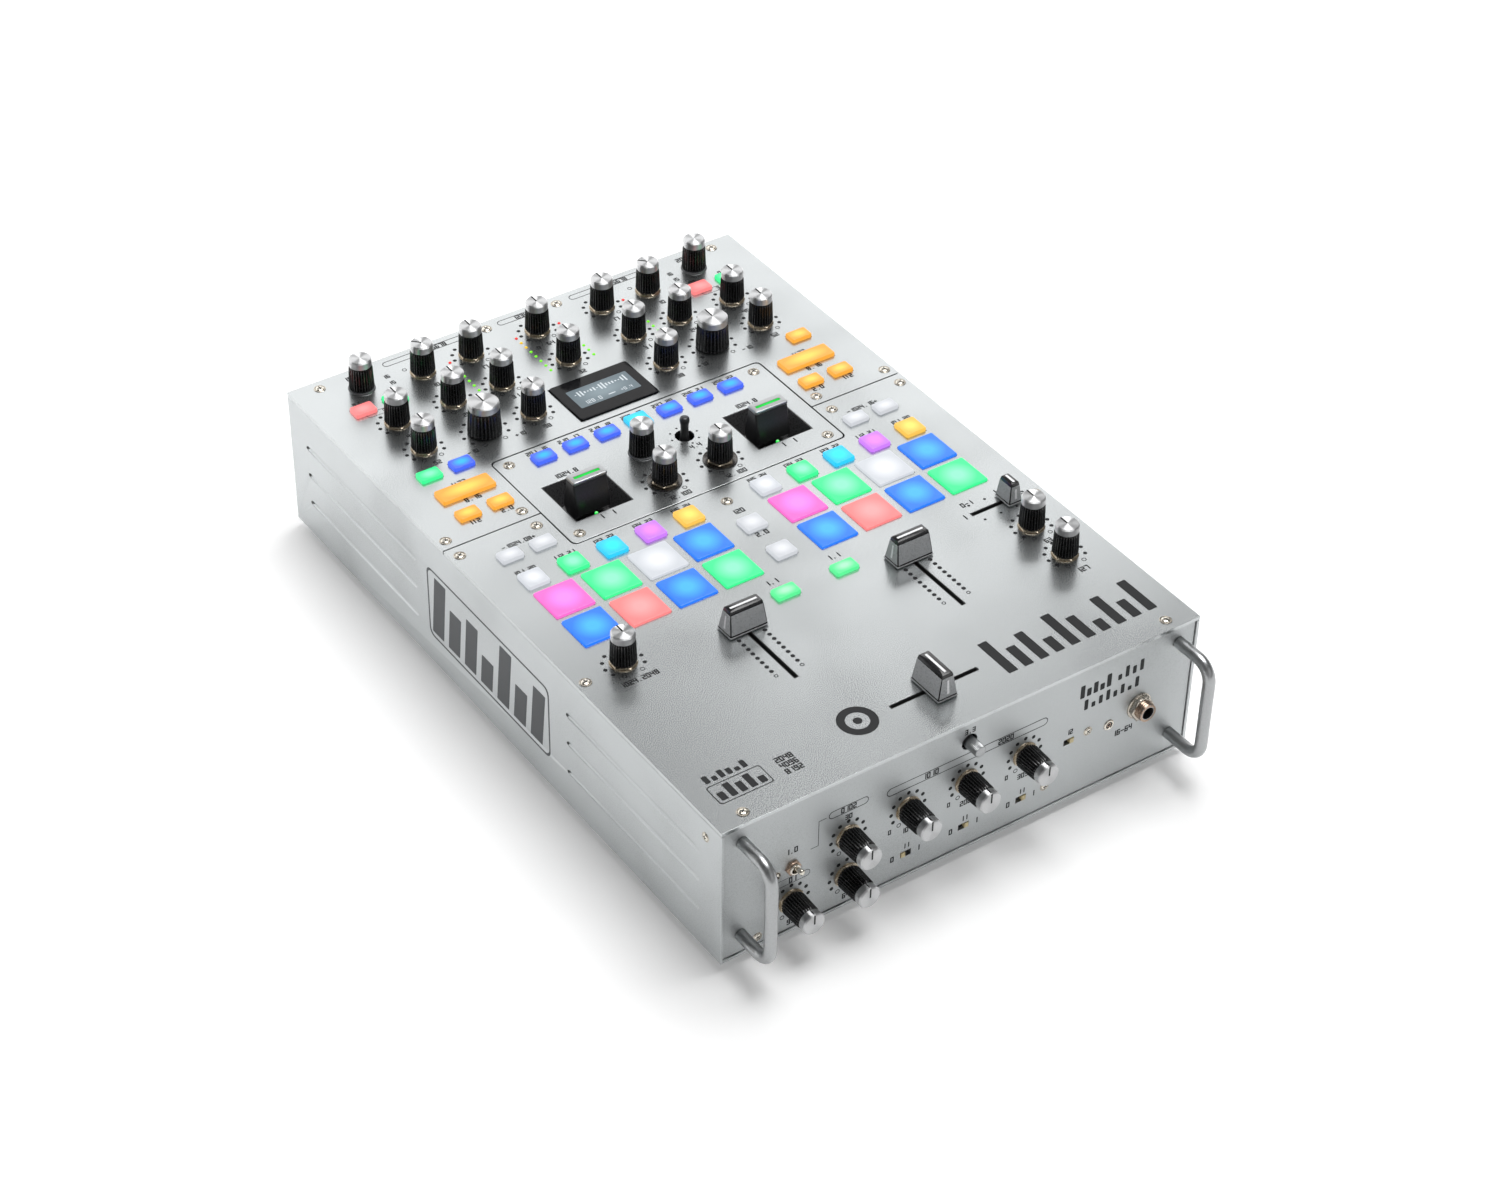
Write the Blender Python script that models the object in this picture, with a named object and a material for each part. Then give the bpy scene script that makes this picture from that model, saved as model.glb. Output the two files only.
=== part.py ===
"""A two-channel table-top mixer for turntable use, as separate solids at its real size.

The body is a folded sheet-metal tray closed by three top plates and a front panel. Turning knobs,
sliding fader caps, two sprung paddles, a small stick, a lever switch and sprung key mats move in it.

Units: metres. +X is the operator's right, +Y runs to the rear, +Z is up. The origin is on the
floor, under the middle of the overall box. The tables of places are in millimetres, measured from
the tray's front left bottom corner; place() turns them into the part's own frame.
"""

import math

import bmesh
import bpy
from mathutils import Vector

MM = 0.001

# Driving dimensions, in millimetres.
WIDTH = 264.0
DEPTH = 384.8
HEIGHT = 77.7  # underside of the tray to the upper face of the top plates
FOOT_HEIGHT = 5.0
GAP = 0.3  # between pieces that rest on each other
SEAM = 0.35  # half of the visible joint between two top plates

SHEET = 1.6  # folded tray
PLATE = 2.0  # top plates
PLATE_UNDER = HEIGHT - PLATE
PANEL_RECESS = 0.8
PANEL_THICK = 2.0

HANDLE_RADIUS = 3.0
HANDLE_REACH = 22.0  # tray's front edge to the bar's centre line
HANDLE_BEND = 9.0
HANDLE_X = 11.0
HANDLE_LOW, HANDLE_HIGH = 12.0, 67.0

OVERALL_DEPTH = DEPTH + HANDLE_REACH + HANDLE_RADIUS
FRONT_Y = HANDLE_REACH + HANDLE_RADIUS - OVERALL_DEPTH / 2  # tray's front edge in the part's frame

KNOB_SIDES = 14
HOLE_SIDES = 12
SHAFT_RADIUS = 3.0
SHAFT_HOLE = 3.9
KNOB_HEIGHT = 18.0
KNOB_LIFT = 1.8  # plate to the knob's lower rim: the nut and washer sit in it
SMALL_KNOB = (6.4, 5.8)  # lower and upper radius
LARGE_KNOB = (8.6, 7.7)
KNOB_RIM = 0.5
FRONT_SHAFT_END = -6.5  # behind the panel's face

KEY_TOP = 1.6  # above the plate
PAD_TOP = 1.0
KEY_TRAVEL = 1.0
KEY_CLEARANCE = 0.4
MAT_GAP = 0.5
MAT_THICK = 1.6
MAT_TOP = PLATE_UNDER - MAT_GAP
MAT_UNDER = MAT_TOP - MAT_THICK
PAD_MAT_X = (16.0, 118.0)
PAD_MAT_Y = (134.0, 197.5)
FX_MAT = (70.0, 261.5, 194.0, 275.5)  # left, front, right and rear edges

BOARD_TOP = 62.0
BOARD_THICK = 1.6
POT_TOP = 69.5
SHAFT_END = POT_TOP + 0.5
FADER_FRAME_TOP = 71.0
FADER_STEM_END = FADER_FRAME_TOP + 0.5

PLATE_SPLIT = 231.8  # seam between the front and the rear top plate
FX_LEFT, FX_RIGHT = 53.4, 210.1
FX_FRONT, FX_REAR = 202.4, 278.7
FX_CORNER = 2.5

PADDLE_X = (79.7, 184.3)
PADDLE_Y = 232.7
PADDLE_WINDOW = 32.0
PADDLE_WIDTH = 19.0
PADDLE_TOP = 12.0  # above the plate
PADDLE_AXIS = 70.0
PADDLE_FLANK = ((3.2, -3.5), (6.5, 1.5), (6.2, 7.0), (4.2, 13.0))  # half depth, height from the axis
PADDLE_TIP = ((3.6, -0.6), (3.0, 0.0))  # half depth, height from the top

STICK = (144.4, 246.2)
STICK_AXIS = 73.0
STICK_HOLE = 4.9
STICK_TOP = 11.4  # above the plate
STICK_BALL = ((0, -2.2), (4.0, -2.2), (4.0, -0.8), (1.5, -0.2), (1.5, 6.5))  # radius, height
STICK_TIP = ((1.9, -3.0), (2.3, -1.6), (1.7, -0.4), (0, 0.0))  # radius, height from the top

DISPLAY = (131.55, 299.4)
DISPLAY_SIZE = (45.7, 31.4)
DISPLAY_PROUD = 0.4
DISPLAY_UNDER = 72.0
DISPLAY_CORNER = 1.5

CHANNEL_FADER_X = (85.2, 178.8)
CHANNEL_FADER_Y = 109.0
CHANNEL_SLOT = (66.3, 114.9)
CROSSFADER = (132.0, 26.9)
CROSS_SLOT = (107.6, 156.4)
CUE_FADER = (245.0, 118.3)
CUE_SLOT = (222.6, 248.6)
SLOT_WIDTH = 2.6
STEM_THICK, STEM_WIDE = 1.2, 3.0
CAP_LIFT = 1.4  # plate to the cap's lower rim
CAP_RIM = 0.6
CAP_SHOULDER = 1.2  # how much wider the flanks end than the top face
# Fader caps: (x, y) size of the base and of the top face, and the height above the plate.
CHANNEL_CAP = ((20.3, 10.5), (17.3, 5.2), 14.0)
CROSS_CAP = ((10.5, 20.3), (5.4, 17.6), 14.3)
CUE_CAP = ((7.4, 11.0), (4.0, 8.0), 12.4)

FLUTE_RADIUS = 2.2
FLUTE_OFFSET = 1.5  # cutter's axis outside the wall
FLUTE_TAPER = 1.6
FLUTE_LENGTH = 108.0
FLUTE_STARTS = (16.75, 259.75)
FLUTE_HEIGHTS = (20.5, 37.8, 54.6)
FLUTE_SIDES = 12

FOOT_PLACES = {
    "foot_front_left": (24.0, 24.0),
    "foot_front_right": (WIDTH - 24.0, 24.0),
    "foot_rear_left": (24.0, DEPTH - 24.0),
    "foot_rear_right": (WIDTH - 24.0, DEPTH - 24.0),
}
FOOT_RADIUS = 9.0
FOOT_CHAMFER = 1.0
FOOT_SIDES = 20

INLET = (36.0, 30.0)  # x and z of the mains inlet's centre, on the rear wall
INLET_OPENING = (24.4, 16.9)
INLET_DEPTH = 16.0
INLET_WALL = 3.0

# Knobs that come in mirrored pairs on the top: x of the left one, y, and the pair of radii.
KNOB_PAIRS = {
    "browse_knob": (33.0, 368.0, SMALL_KNOB),
    "source_knob": (65.0, 363.0, SMALL_KNOB),
    "high_knob": (93.0, 363.0, SMALL_KNOB),
    "level_knob": (65.0, 333.0, SMALL_KNOB),
    "mid_knob": (93.0, 333.0, SMALL_KNOB),
    "filter_knob": (65.0, 303.0, LARGE_KNOB),
    "low_knob": (93.0, 303.0, SMALL_KNOB),
    "fx_depth_knob": (116.0, 220.5, SMALL_KNOB),
}
SINGLE_KNOBS = {
    "master_knob": (132.0, 363.0),
    "booth_knob": (132.0, 333.0),
    "mic_level_knob": (33.0, 332.5),
    "mic_tone_knob": (33.0, 306.5),
    "session_in_knob": (231.0, 332.5),
    "session_out_knob": (231.0, 306.5),
    "fx_time_knob": (119.6, 246.2),
    "sampler_knob": (26.3, 117.6),
    "cue_mix_knob": (241.1, 95.7),
    "cue_level_knob": (241.1, 70.4),
}
# Knobs on the front panel: x and z.
FRONT_KNOBS = {
    "aux_mic_level_knob": (67.6, 41.0),
    "aux_mic_tone_knob": (67.6, 18.1),
    "mic_echo_knob": (37.7, 18.1),
    "left_contour_knob": (100.2, 41.2),
    "cross_contour_knob": (132.9, 41.2),
    "right_contour_knob": (165.6, 41.2),
}
TENSION_KNOB = (132.9, 64.4)
TENSION_HOLE = 4.4
TENSION_SHAPE = ((0, -9.0), (3.1, -9.0), (3.1, 8.0), (2.6, 8.5), (0, 8.5))  # radius, height
LEVER = (38.1, 38.1)
LEVER_HOLE = 2.8
LEVER_PIVOT = 2.0  # behind the tray's front edge
LEVER_TILT = 16.0  # degrees above level, its upper position
LEVER_SHAPE = ((0, -3.5), (1.2, -3.5), (1.2, 1.0), (1.0, 2.0), (1.5, 8.2), (1.0, 9.2), (0, 9.4))
PHONES_JACK = (232.4, 38.4)
JACK_BORE = 3.3
JACK_BARREL = 4.7
JACK_PROUD = 7.0
JACK_DEPTH = 24.0
JACK_HOUSING = 15.0
SLIDE_SWITCHES = ((100.3, 13.8), (132.8, 14.0), (165.6, 14.1), (191.6, 36.1))
SLIDE_SLOT = (6.0, 3.4)

PAD = 20.3
PAD_COLUMNS = (28.3, 53.9, 79.5, 105.1)
PAD_ROWS = (170.6, 146.2)
MODE_KEY = 11.0
MODE_COLUMNS = (24.0, 45.5, 67.0, 88.5, 110.0)
MODE_ROW = 190.4
SMALL_KEY = (11.0, 7.0)
WIDE_KEY = (28.5, 9.5)
SIDE_COLUMNS = (23.9, 41.7)
FX_KEY_PITCH = 18.15

# What stands behind the plates, as (x, y) or (x, z) sizes and (low corner, high corner) pairs.
POT_BODY = (9.6, 11.0)
FRONT_BODY = (8.5, 17.0)  # y of the front and back of a control on the upright board
FRONT_BODY_Y = (7.0, 17.0)
PADDLE_SWITCH = (18.0, 12.0)
STICK_SWITCH = 10.0
CONTROL_BOARD = ((6.0, 14.0, BOARD_TOP - BOARD_THICK), (258.0, 378.0, BOARD_TOP))
FADER_FRAMES = (
    ((80.7, 60.0), (89.7, 122.0)),
    ((174.3, 60.0), (183.3, 122.0)),
    ((101.0, 22.4), (163.0, 31.4)),
    ((218.0, 114.8), (253.0, 121.8)),
)
FADER_LINK = ((110.0, 30.0, 50.0), (154.0, 32.0, BOARD_TOP - BOARD_THICK / 2))
OTHER_BOARDS = {
    "front_board": ((12.0, 16.0, 6.0), (218.0, 17.6, BOARD_TOP - 0.5)),
    "rear_board": ((70.0, 366.0, 6.0), (254.0, 367.6, BOARD_TOP - 0.5)),
    "power_supply": ((150.0, 296.0, 8.0), (246.0, 366.8, 40.0)),
}
THROUGH = 5.0  # how far a cutter reaches past what it cuts
OVERLAP = 0.05  # how far joined shapes reach into each other
SMOOTH_BELOW = 40  # degrees

COLOURS = {
    "aluminium": (0.60, 0.62, 0.64, 0.42, 1.0),
    "steel": (0.66, 0.66, 0.66, 0.25, 1.0),
    "knob": (0.03, 0.03, 0.035, 0.45, 0.0),
    "spun": (0.75, 0.75, 0.76, 0.28, 1.0),
    "cap": (0.09, 0.10, 0.11, 0.5, 0.0),
    "silicone": (0.75, 0.85, 0.80, 0.4, 0.0),
    "gloss": (0.01, 0.01, 0.012, 0.12, 0.0),
    "board": (0.02, 0.14, 0.06, 0.5, 0.0),
    "rubber": (0.03, 0.03, 0.03, 0.8, 0.0),
}


def clear_scene():
    for obj in list(bpy.data.objects):
        bpy.data.objects.remove(obj, do_unlink=True)


def place(x, y, z):
    """A point given in millimetres from the tray's front left bottom corner, in the part's frame."""
    return Vector((x - WIDTH / 2, y + FRONT_Y, z + FOOT_HEIGHT)) * MM


def mirrored(x):
    return WIDTH - x


def material_of(name, kind):
    red, green, blue, roughness, metallic = COLOURS[kind]
    material = bpy.data.materials.new(name)
    material.use_nodes = True
    shader = material.node_tree.nodes["Principled BSDF"]
    shader.inputs["Base Color"].default_value = (red, green, blue, 1.0)
    shader.inputs["Roughness"].default_value = roughness
    shader.inputs["Metallic"].default_value = metallic
    return material


def finish(obj, kind, smooth=False):
    """Gives the object its own material and, on a round piece, smooth shading between its edges."""
    obj.data.materials.append(material_of(obj.name, kind))
    if smooth:
        obj.data.shade_smooth()
        obj.data.set_sharp_from_angle(angle=math.radians(SMOOTH_BELOW))
    return obj


def object_from(bm, name, origin=(0.0, 0.0, 0.0)):
    """An object whose origin is a point in millimetres; the mesh holds offsets from it, in metres."""
    bmesh.ops.recalc_face_normals(bm, faces=bm.faces)
    bmesh.ops.scale(bm, vec=(MM, MM, MM), verts=bm.verts)
    mesh = bpy.data.meshes.new(name)
    bm.to_mesh(mesh)
    bm.free()
    obj = bpy.data.objects.new(name, mesh)
    bpy.context.scene.collection.objects.link(obj)
    obj.location = place(*origin)
    return obj


def add_rings(bm, rings):
    """Rings with the same number of points, joined in order and closed at both ends."""
    rings = [[bm.verts.new(point) for point in ring] for ring in rings]
    bm.faces.new(rings[0])
    bm.faces.new(rings[-1])
    for lower, upper in zip(rings, rings[1:]):
        for i in range(len(lower)):
            j = (i + 1) % len(lower)
            bm.faces.new((lower[i], lower[j], upper[j], upper[i]))


def add_prism(bm, outline, low, high):
    """An outline in the XY plane carried from z = low to z = high."""
    add_rings(bm, [[(x, y, z) for x, y in outline] for z in (low, high)])


def add_front_prism(bm, outline, front, back):
    """An outline in x and z carried from y = front to y = back."""
    add_rings(bm, [[(x, y, z) for x, z in outline] for y in (front, back)])


def add_box(bm, low, high):
    add_prism(bm, rectangle(low[0], low[1], high[0], high[1]), low[2], high[2])


def add_frustum(bm, low, high, z_low, z_high):
    """A block about Z whose plan changes from low = (width, depth) to high = (width, depth)."""
    levels = ((low, z_low), (high, z_high))
    add_rings(bm, [[(x, y, z) for x, y in centred(0, 0, *size)] for size, z in levels])


def add_turned(bm, profile, sides):
    """A profile of (radius, z) turned about Z; a radius of 0 closes that end on the axis."""
    rings = []
    for radius, z in profile:
        if radius == 0:
            rings.append([bm.verts.new((0, 0, z))])
            continue
        angles = [2 * math.pi * i / sides for i in range(sides)]
        rings.append([bm.verts.new((radius * math.cos(a), radius * math.sin(a), z)) for a in angles])
    for lower, upper in zip(rings, rings[1:]):
        for i in range(sides):
            ends = (i, (i + 1) % sides)
            corners = [lower[k % len(lower)] for k in ends]
            corners += [upper[k % len(upper)] for k in reversed(ends)]
            bm.faces.new(list(dict.fromkeys(corners)))


def rectangle(x0, y0, x1, y1):
    return [(x0, y0), (x1, y0), (x1, y1), (x0, y1)]


def centred(x, y, width, depth, grow=0.0):
    half_x, half_y = width / 2 + grow, depth / 2 + grow
    return rectangle(x - half_x, y - half_y, x + half_x, y + half_y)


def circle(x, y, radius, sides=HOLE_SIDES):
    angles = [2 * math.pi * (i + 0.5) / sides for i in range(sides)]
    return [(x + radius * math.cos(a), y + radius * math.sin(a)) for a in angles]


def rounded(x0, y0, x1, y1, radius, steps=3):
    """A rectangle with round corners, each drawn as steps straight edges."""
    points = []
    corners = ((x1, y1, 0), (x0, y1, 90), (x0, y0, 180), (x1, y0, 270))
    for x, y, start in corners:
        centre_x = x - math.copysign(radius, x - (x0 + x1) / 2)
        centre_y = y - math.copysign(radius, y - (y0 + y1) / 2)
        for i in range(steps + 1):
            a = math.radians(start + 90 * i / steps)
            points.append((centre_x + radius * math.cos(a), centre_y + radius * math.sin(a)))
    return points


def helper(name, bm):
    """A cutter, or a group of shapes to be joined on: not a piece of the mixer itself."""
    obj = object_from(bm, name)
    obj.hide_render = True
    obj.display_type = "WIRE"
    return obj


def combine(obj, other, operation):
    modifier = obj.modifiers.new(operation.lower(), "BOOLEAN")
    modifier.operation = operation
    modifier.solver = "EXACT"
    modifier.object = other
    return obj


def outlines_helper(name, outlines, low, high):
    bm = bmesh.new()
    for outline in outlines:
        add_prism(bm, outline, low, high)
    return helper(name, bm)


def side_keys(mirror):
    """Outlines of the keys of one outer column: parameter, loop, wide, cue-point and select keys."""
    rows = [(211.3, SMALL_KEY), (249.5, SMALL_KEY), (285.7, SMALL_KEY), (350.0, (11.0, 7.5))]
    keys = [(x, y, *size) for y, size in rows for x in SIDE_COLUMNS]
    if mirror:
        keys = [key for key in keys if key[:2] != (SIDE_COLUMNS[1], 285.7)]
    keys.append((32.6, 266.8, *WIDE_KEY))
    return [(mirrored(x) if mirror else x, y, width, depth) for x, y, width, depth in keys]


def pad_keys(mirror):
    keys = [(x, y, PAD, PAD) for y in PAD_ROWS for x in PAD_COLUMNS]
    keys += [(x, MODE_ROW, MODE_KEY, MODE_KEY) for x in MODE_COLUMNS]
    return [(mirrored(x) if mirror else x, y, width, depth) for x, y, width, depth in keys]


def fx_keys():
    keys = []
    for i in range(-3, 4):
        depth = 10.0 if i == 0 else SMALL_KEY[1]
        keys.append((WIDTH / 2 + FX_KEY_PITCH * i, 268.4, SMALL_KEY[0], depth))
    return keys


def centre_keys():
    keys = [(131.8, 169.5, 11.0, 10.0), (131.8, 145.0, 11.0, 10.0)]
    return keys + [(x, 118.4, 12.0, 7.0) for x in (115.4, 148.6)]


def side_mat_outline(mirror):
    """A column under the side keys, with a narrow tail past the knob shafts to the two rear keys."""
    points = [(14.0, 204.0), (51.0, 204.0), (51.0, 292.0), (20.5, 292.0)]
    points += [(20.5, 343.5), (50.0, 343.5), (50.0, 356.5), (14.0, 356.5)]
    return [(mirrored(x), y) for x, y in points][::-1] if mirror else points


def centre_mat_outline():
    points = [(107.0, 112.5), (157.0, 112.5), (157.0, 124.5), (139.5, 124.5), (139.5, 177.0)]
    return points + [(124.5, 177.0), (124.5, 124.5), (107.0, 124.5)]


def key_mat(name, outline, keys):
    """A thin sheet under the plate with keys standing up from it through the plate."""
    bm = bmesh.new()
    add_prism(bm, outline, MAT_UNDER, MAT_TOP)
    mat = object_from(bm, name)
    bm = bmesh.new()
    for x, y, width, depth in keys:
        top = HEIGHT + (PAD_TOP if width == depth == PAD else KEY_TOP)
        add_prism(bm, centred(x, y, width, depth), MAT_TOP - MAT_THICK / 2, top)
    combine(mat, helper(name + "_keys", bm), "UNION")
    return finish(mat, "silicone")


def key_holes(keys):
    return [centred(x, y, width, depth, KEY_CLEARANCE) for x, y, width, depth in keys]


def top_knobs():
    """Name, x, y and radii of every knob on the top."""
    found = []
    for name, (x, y, radii) in KNOB_PAIRS.items():
        found.append((name + "_left", x, y, radii))
        found.append((name + "_right", mirrored(x), y, radii))
    return found + [(name, x, y, SMALL_KNOB) for name, (x, y) in SINGLE_KNOBS.items()]


def knob_holes(inside):
    return [circle(x, y, SHAFT_HOLE) for _, x, y, _ in top_knobs() if inside(x, y)]


def on_fx_plate(x, y):
    return FX_LEFT < x < FX_RIGHT and FX_FRONT < y < FX_REAR


def fx_cutout():
    return rounded(FX_LEFT - SEAM, FX_FRONT - SEAM, FX_RIGHT + SEAM, FX_REAR + SEAM, FX_CORNER + SEAM)


def top_plate(name, outline, cuts):
    bm = bmesh.new()
    add_prism(bm, outline, PLATE_UNDER, HEIGHT)
    plate = object_from(bm, name)
    cutter = outlines_helper(name + "_cuts", cuts, PLATE_UNDER - PLATE / 2, HEIGHT + PLATE / 2)
    return finish(combine(plate, cutter, "DIFFERENCE"), "aluminium")


def make_rear_plate():
    x, y = DISPLAY
    cuts = [fx_cutout(), centred(x, y, *DISPLAY_SIZE, grow=GAP)]
    cuts += knob_holes(lambda x, y: y > PLATE_SPLIT and not on_fx_plate(x, y))
    for mirror in (False, True):
        cuts += key_holes([key for key in side_keys(mirror) if key[1] > PLATE_SPLIT])
    top_plate("rear_top_plate", rectangle(0, PLATE_SPLIT + SEAM, WIDTH, DEPTH), cuts)


def make_fx_plate():
    cuts = [centred(x, PADDLE_Y, PADDLE_WINDOW, PADDLE_WINDOW) for x in PADDLE_X]
    cuts += knob_holes(on_fx_plate) + key_holes(fx_keys()) + [circle(*STICK, STICK_HOLE)]
    outline = rounded(FX_LEFT + SEAM, FX_FRONT + SEAM, FX_RIGHT - SEAM, FX_REAR - SEAM, FX_CORNER)
    top_plate("fx_plate", outline, cuts)


def fader_slots():
    half = SLOT_WIDTH / 2
    slots = [rectangle(x - half, CHANNEL_SLOT[0], x + half, CHANNEL_SLOT[1]) for x in CHANNEL_FADER_X]
    for (_, y), (start, end) in ((CROSSFADER, CROSS_SLOT), (CUE_FADER, CUE_SLOT)):
        slots.append(rectangle(start, y - half, end, y + half))
    return slots


def make_front_plate():
    cuts = [fx_cutout()] + fader_slots() + key_holes(centre_keys())
    cuts += knob_holes(lambda x, y: y < PLATE_SPLIT and not on_fx_plate(x, y))
    for mirror in (False, True):
        cuts += key_holes(pad_keys(mirror))
        cuts += key_holes([key for key in side_keys(mirror) if key[1] < PLATE_SPLIT])
    top_plate("front_top_plate", rectangle(0, 0, WIDTH, PLATE_SPLIT - SEAM), cuts)


def make_key_mats():
    for mirror, side in ((False, "left"), (True, "right")):
        key_mat("side_key_mat_" + side, side_mat_outline(mirror), side_keys(mirror))
        low, high = sorted(mirrored(x) for x in PAD_MAT_X) if mirror else PAD_MAT_X
        key_mat("pad_mat_" + side, rectangle(low, PAD_MAT_Y[0], high, PAD_MAT_Y[1]), pad_keys(mirror))
    key_mat("fx_key_mat", rectangle(*FX_MAT), fx_keys())
    key_mat("centre_key_mat", centre_mat_outline(), centre_keys())


def flute_rings(axis_x, start, z):
    """Rings along y of one flute's cutter: drawn in to the wall's surface at both ends."""
    end = start + FLUTE_LENGTH
    stations = [(start, FLUTE_OFFSET), (start + FLUTE_TAPER, FLUTE_RADIUS)]
    stations += [(end - FLUTE_TAPER, FLUTE_RADIUS), (end, FLUTE_OFFSET)]
    angles = [2 * math.pi * i / FLUTE_SIDES for i in range(FLUTE_SIDES)]
    return [[(axis_x + r * math.cos(a), y, z + r * math.sin(a)) for a in angles] for y, r in stations]


def flute_cutter():
    """Long round-ended shapes that press shallow flutes into both side walls."""
    bm = bmesh.new()
    for axis_x in (-FLUTE_OFFSET, WIDTH + FLUTE_OFFSET):
        for start in FLUTE_STARTS:
            for z in FLUTE_HEIGHTS:
                add_rings(bm, flute_rings(axis_x, start, z))
    return helper("flute_cutter", bm)


def make_chassis():
    """Tray with its bottom, two sides and rear wall; open at the top and the front."""
    bm = bmesh.new()
    add_box(bm, (0, 0, 0), (WIDTH, DEPTH, PLATE_UNDER - GAP))
    tray = object_from(bm, "chassis")
    bm = bmesh.new()
    add_box(bm, (SHEET, -THROUGH, SHEET), (WIDTH - SHEET, DEPTH - SHEET, HEIGHT + THROUGH))
    combine(tray, helper("chassis_inside", bm), "DIFFERENCE")
    bm = bmesh.new()
    x, z = INLET
    half_x, half_z = INLET_OPENING[0] / 2, INLET_OPENING[1] / 2
    low = (x - half_x - INLET_WALL, DEPTH - INLET_DEPTH - INLET_WALL, z - half_z - INLET_WALL)
    high = (x + half_x + INLET_WALL, DEPTH - SHEET / 2, z + half_z + INLET_WALL)
    add_box(bm, low, high)
    combine(tray, helper("inlet_housing", bm), "UNION")
    bm = bmesh.new()
    add_box(bm, (x - half_x, DEPTH - INLET_DEPTH, z - half_z), (x + half_x, DEPTH + THROUGH, z + half_z))
    combine(tray, helper("inlet_recess", bm), "DIFFERENCE")
    combine(tray, flute_cutter(), "DIFFERENCE")
    return finish(tray, "aluminium")


def front_panel_cutter(back):
    """The socket's bore, and holes for the shafts, the lever and the slide switches."""
    bm = bmesh.new()
    add_front_prism(bm, circle(*PHONES_JACK, JACK_BORE), -JACK_PROUD - THROUGH, JACK_DEPTH)
    outlines = [circle(x, z, SHAFT_HOLE) for x, z in FRONT_KNOBS.values()]
    outlines += [circle(*TENSION_KNOB, TENSION_HOLE), circle(*LEVER, LEVER_HOLE)]
    outlines += [centred(x, z, *SLIDE_SLOT) for x, z in SLIDE_SWITCHES]
    for outline in outlines:
        add_front_prism(bm, outline, -THROUGH, back + THROUGH)
    return helper("front_panel_cuts", bm)


def make_front_panel():
    """A recessed plate that carries the barrel and the closed housing of the large socket."""
    back, edge = PANEL_RECESS + PANEL_THICK, SHEET + GAP
    bm = bmesh.new()
    add_box(bm, (edge, PANEL_RECESS, edge), (WIDTH - edge, back, PLATE_UNDER - GAP))
    panel = object_from(bm, "front_panel")
    bm = bmesh.new()
    barrel = circle(*PHONES_JACK, JACK_BARREL)
    add_front_prism(bm, barrel, PANEL_RECESS - JACK_PROUD, back + PANEL_THICK / 2)
    combine(panel, helper("jack_barrel", bm), "UNION")
    bm = bmesh.new()
    housing = centred(*PHONES_JACK, JACK_HOUSING, JACK_HOUSING)
    add_front_prism(bm, housing, back - PANEL_THICK / 2, JACK_DEPTH + PANEL_THICK)
    combine(panel, helper("jack_housing", bm), "UNION")
    combine(panel, front_panel_cutter(back), "DIFFERENCE")
    return finish(panel, "aluminium")


def handle_route():
    """Points of one handle's centre line, as (y, z): out of the panel, up and back in."""
    steps, points = 6, [(PANEL_RECESS - GAP, HANDLE_LOW)]
    bends = (
        (HANDLE_BEND - HANDLE_REACH, HANDLE_LOW + HANDLE_BEND, 270),
        (HANDLE_BEND - HANDLE_REACH, HANDLE_HIGH - HANDLE_BEND, 180),
    )
    for y, z, start in bends:
        for i in range(steps + 1):
            a = math.radians(start - 90 * i / steps)
            points.append((y + HANDLE_BEND * math.cos(a), z + HANDLE_BEND * math.sin(a)))
    return points + [(PANEL_RECESS - GAP, HANDLE_HIGH)]


def make_handle(name, x):
    curve = bpy.data.curves.new(name, "CURVE")
    curve.dimensions = "3D"
    curve.bevel_depth = HANDLE_RADIUS * MM
    curve.bevel_resolution = 3
    curve.use_fill_caps = True
    route = handle_route()
    spline = curve.splines.new("POLY")
    spline.points.add(len(route) - 1)
    for point, (y, z) in zip(spline.points, route):
        point.co = (0.0, y * MM, z * MM, 1.0)
    obj = bpy.data.objects.new(name, curve)
    bpy.context.scene.collection.objects.link(obj)
    obj.location = place(x, 0, 0)
    finish(obj, "steel")


def knob_profile(radii, shaft_end):
    """Radius and height from the plate, from the shaft's foot to the cap: heights in millimetres."""
    lower, upper = radii
    profile = [(0, shaft_end), (SHAFT_RADIUS, shaft_end), (SHAFT_RADIUS, KNOB_LIFT)]
    profile += [(lower, KNOB_LIFT), (upper, KNOB_HEIGHT - KNOB_RIM)]
    return profile + [(upper - KNOB_RIM, KNOB_HEIGHT), (0, KNOB_HEIGHT)]


def make_knob(name, origin, radii, shaft_end, upright=True):
    bm = bmesh.new()
    add_turned(bm, knob_profile(radii, shaft_end), KNOB_SIDES)
    knob = object_from(bm, name, origin)
    if not upright:
        knob.rotation_euler.x = math.radians(90)
    return finish(knob, "knob", smooth=True)


def make_knobs():
    for name, x, y, radii in top_knobs():
        make_knob(name, (x, y, HEIGHT), radii, SHAFT_END - HEIGHT)
    for name, (x, z) in FRONT_KNOBS.items():
        make_knob(name, (x, PANEL_RECESS, z), SMALL_KNOB, FRONT_SHAFT_END, upright=False)


def make_tension_knob():
    """A steel bush through the panel that sets how freely the crossfader slides."""
    bm = bmesh.new()
    add_turned(bm, TENSION_SHAPE, KNOB_SIDES)
    x, z = TENSION_KNOB
    knob = object_from(bm, "tension_knob", (x, PANEL_RECESS, z))
    knob.rotation_euler.x = math.radians(90)
    finish(knob, "spun", smooth=True)


def make_lever():
    """A tapered steel lever through the panel, held here in its upper position."""
    bm = bmesh.new()
    add_turned(bm, LEVER_SHAPE, HOLE_SIDES)
    x, z = LEVER
    lever = object_from(bm, "mic_lever", (x, LEVER_PIVOT, z))
    lever.rotation_euler.x = math.radians(90 - LEVER_TILT)
    finish(lever, "spun", smooth=True)


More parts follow.
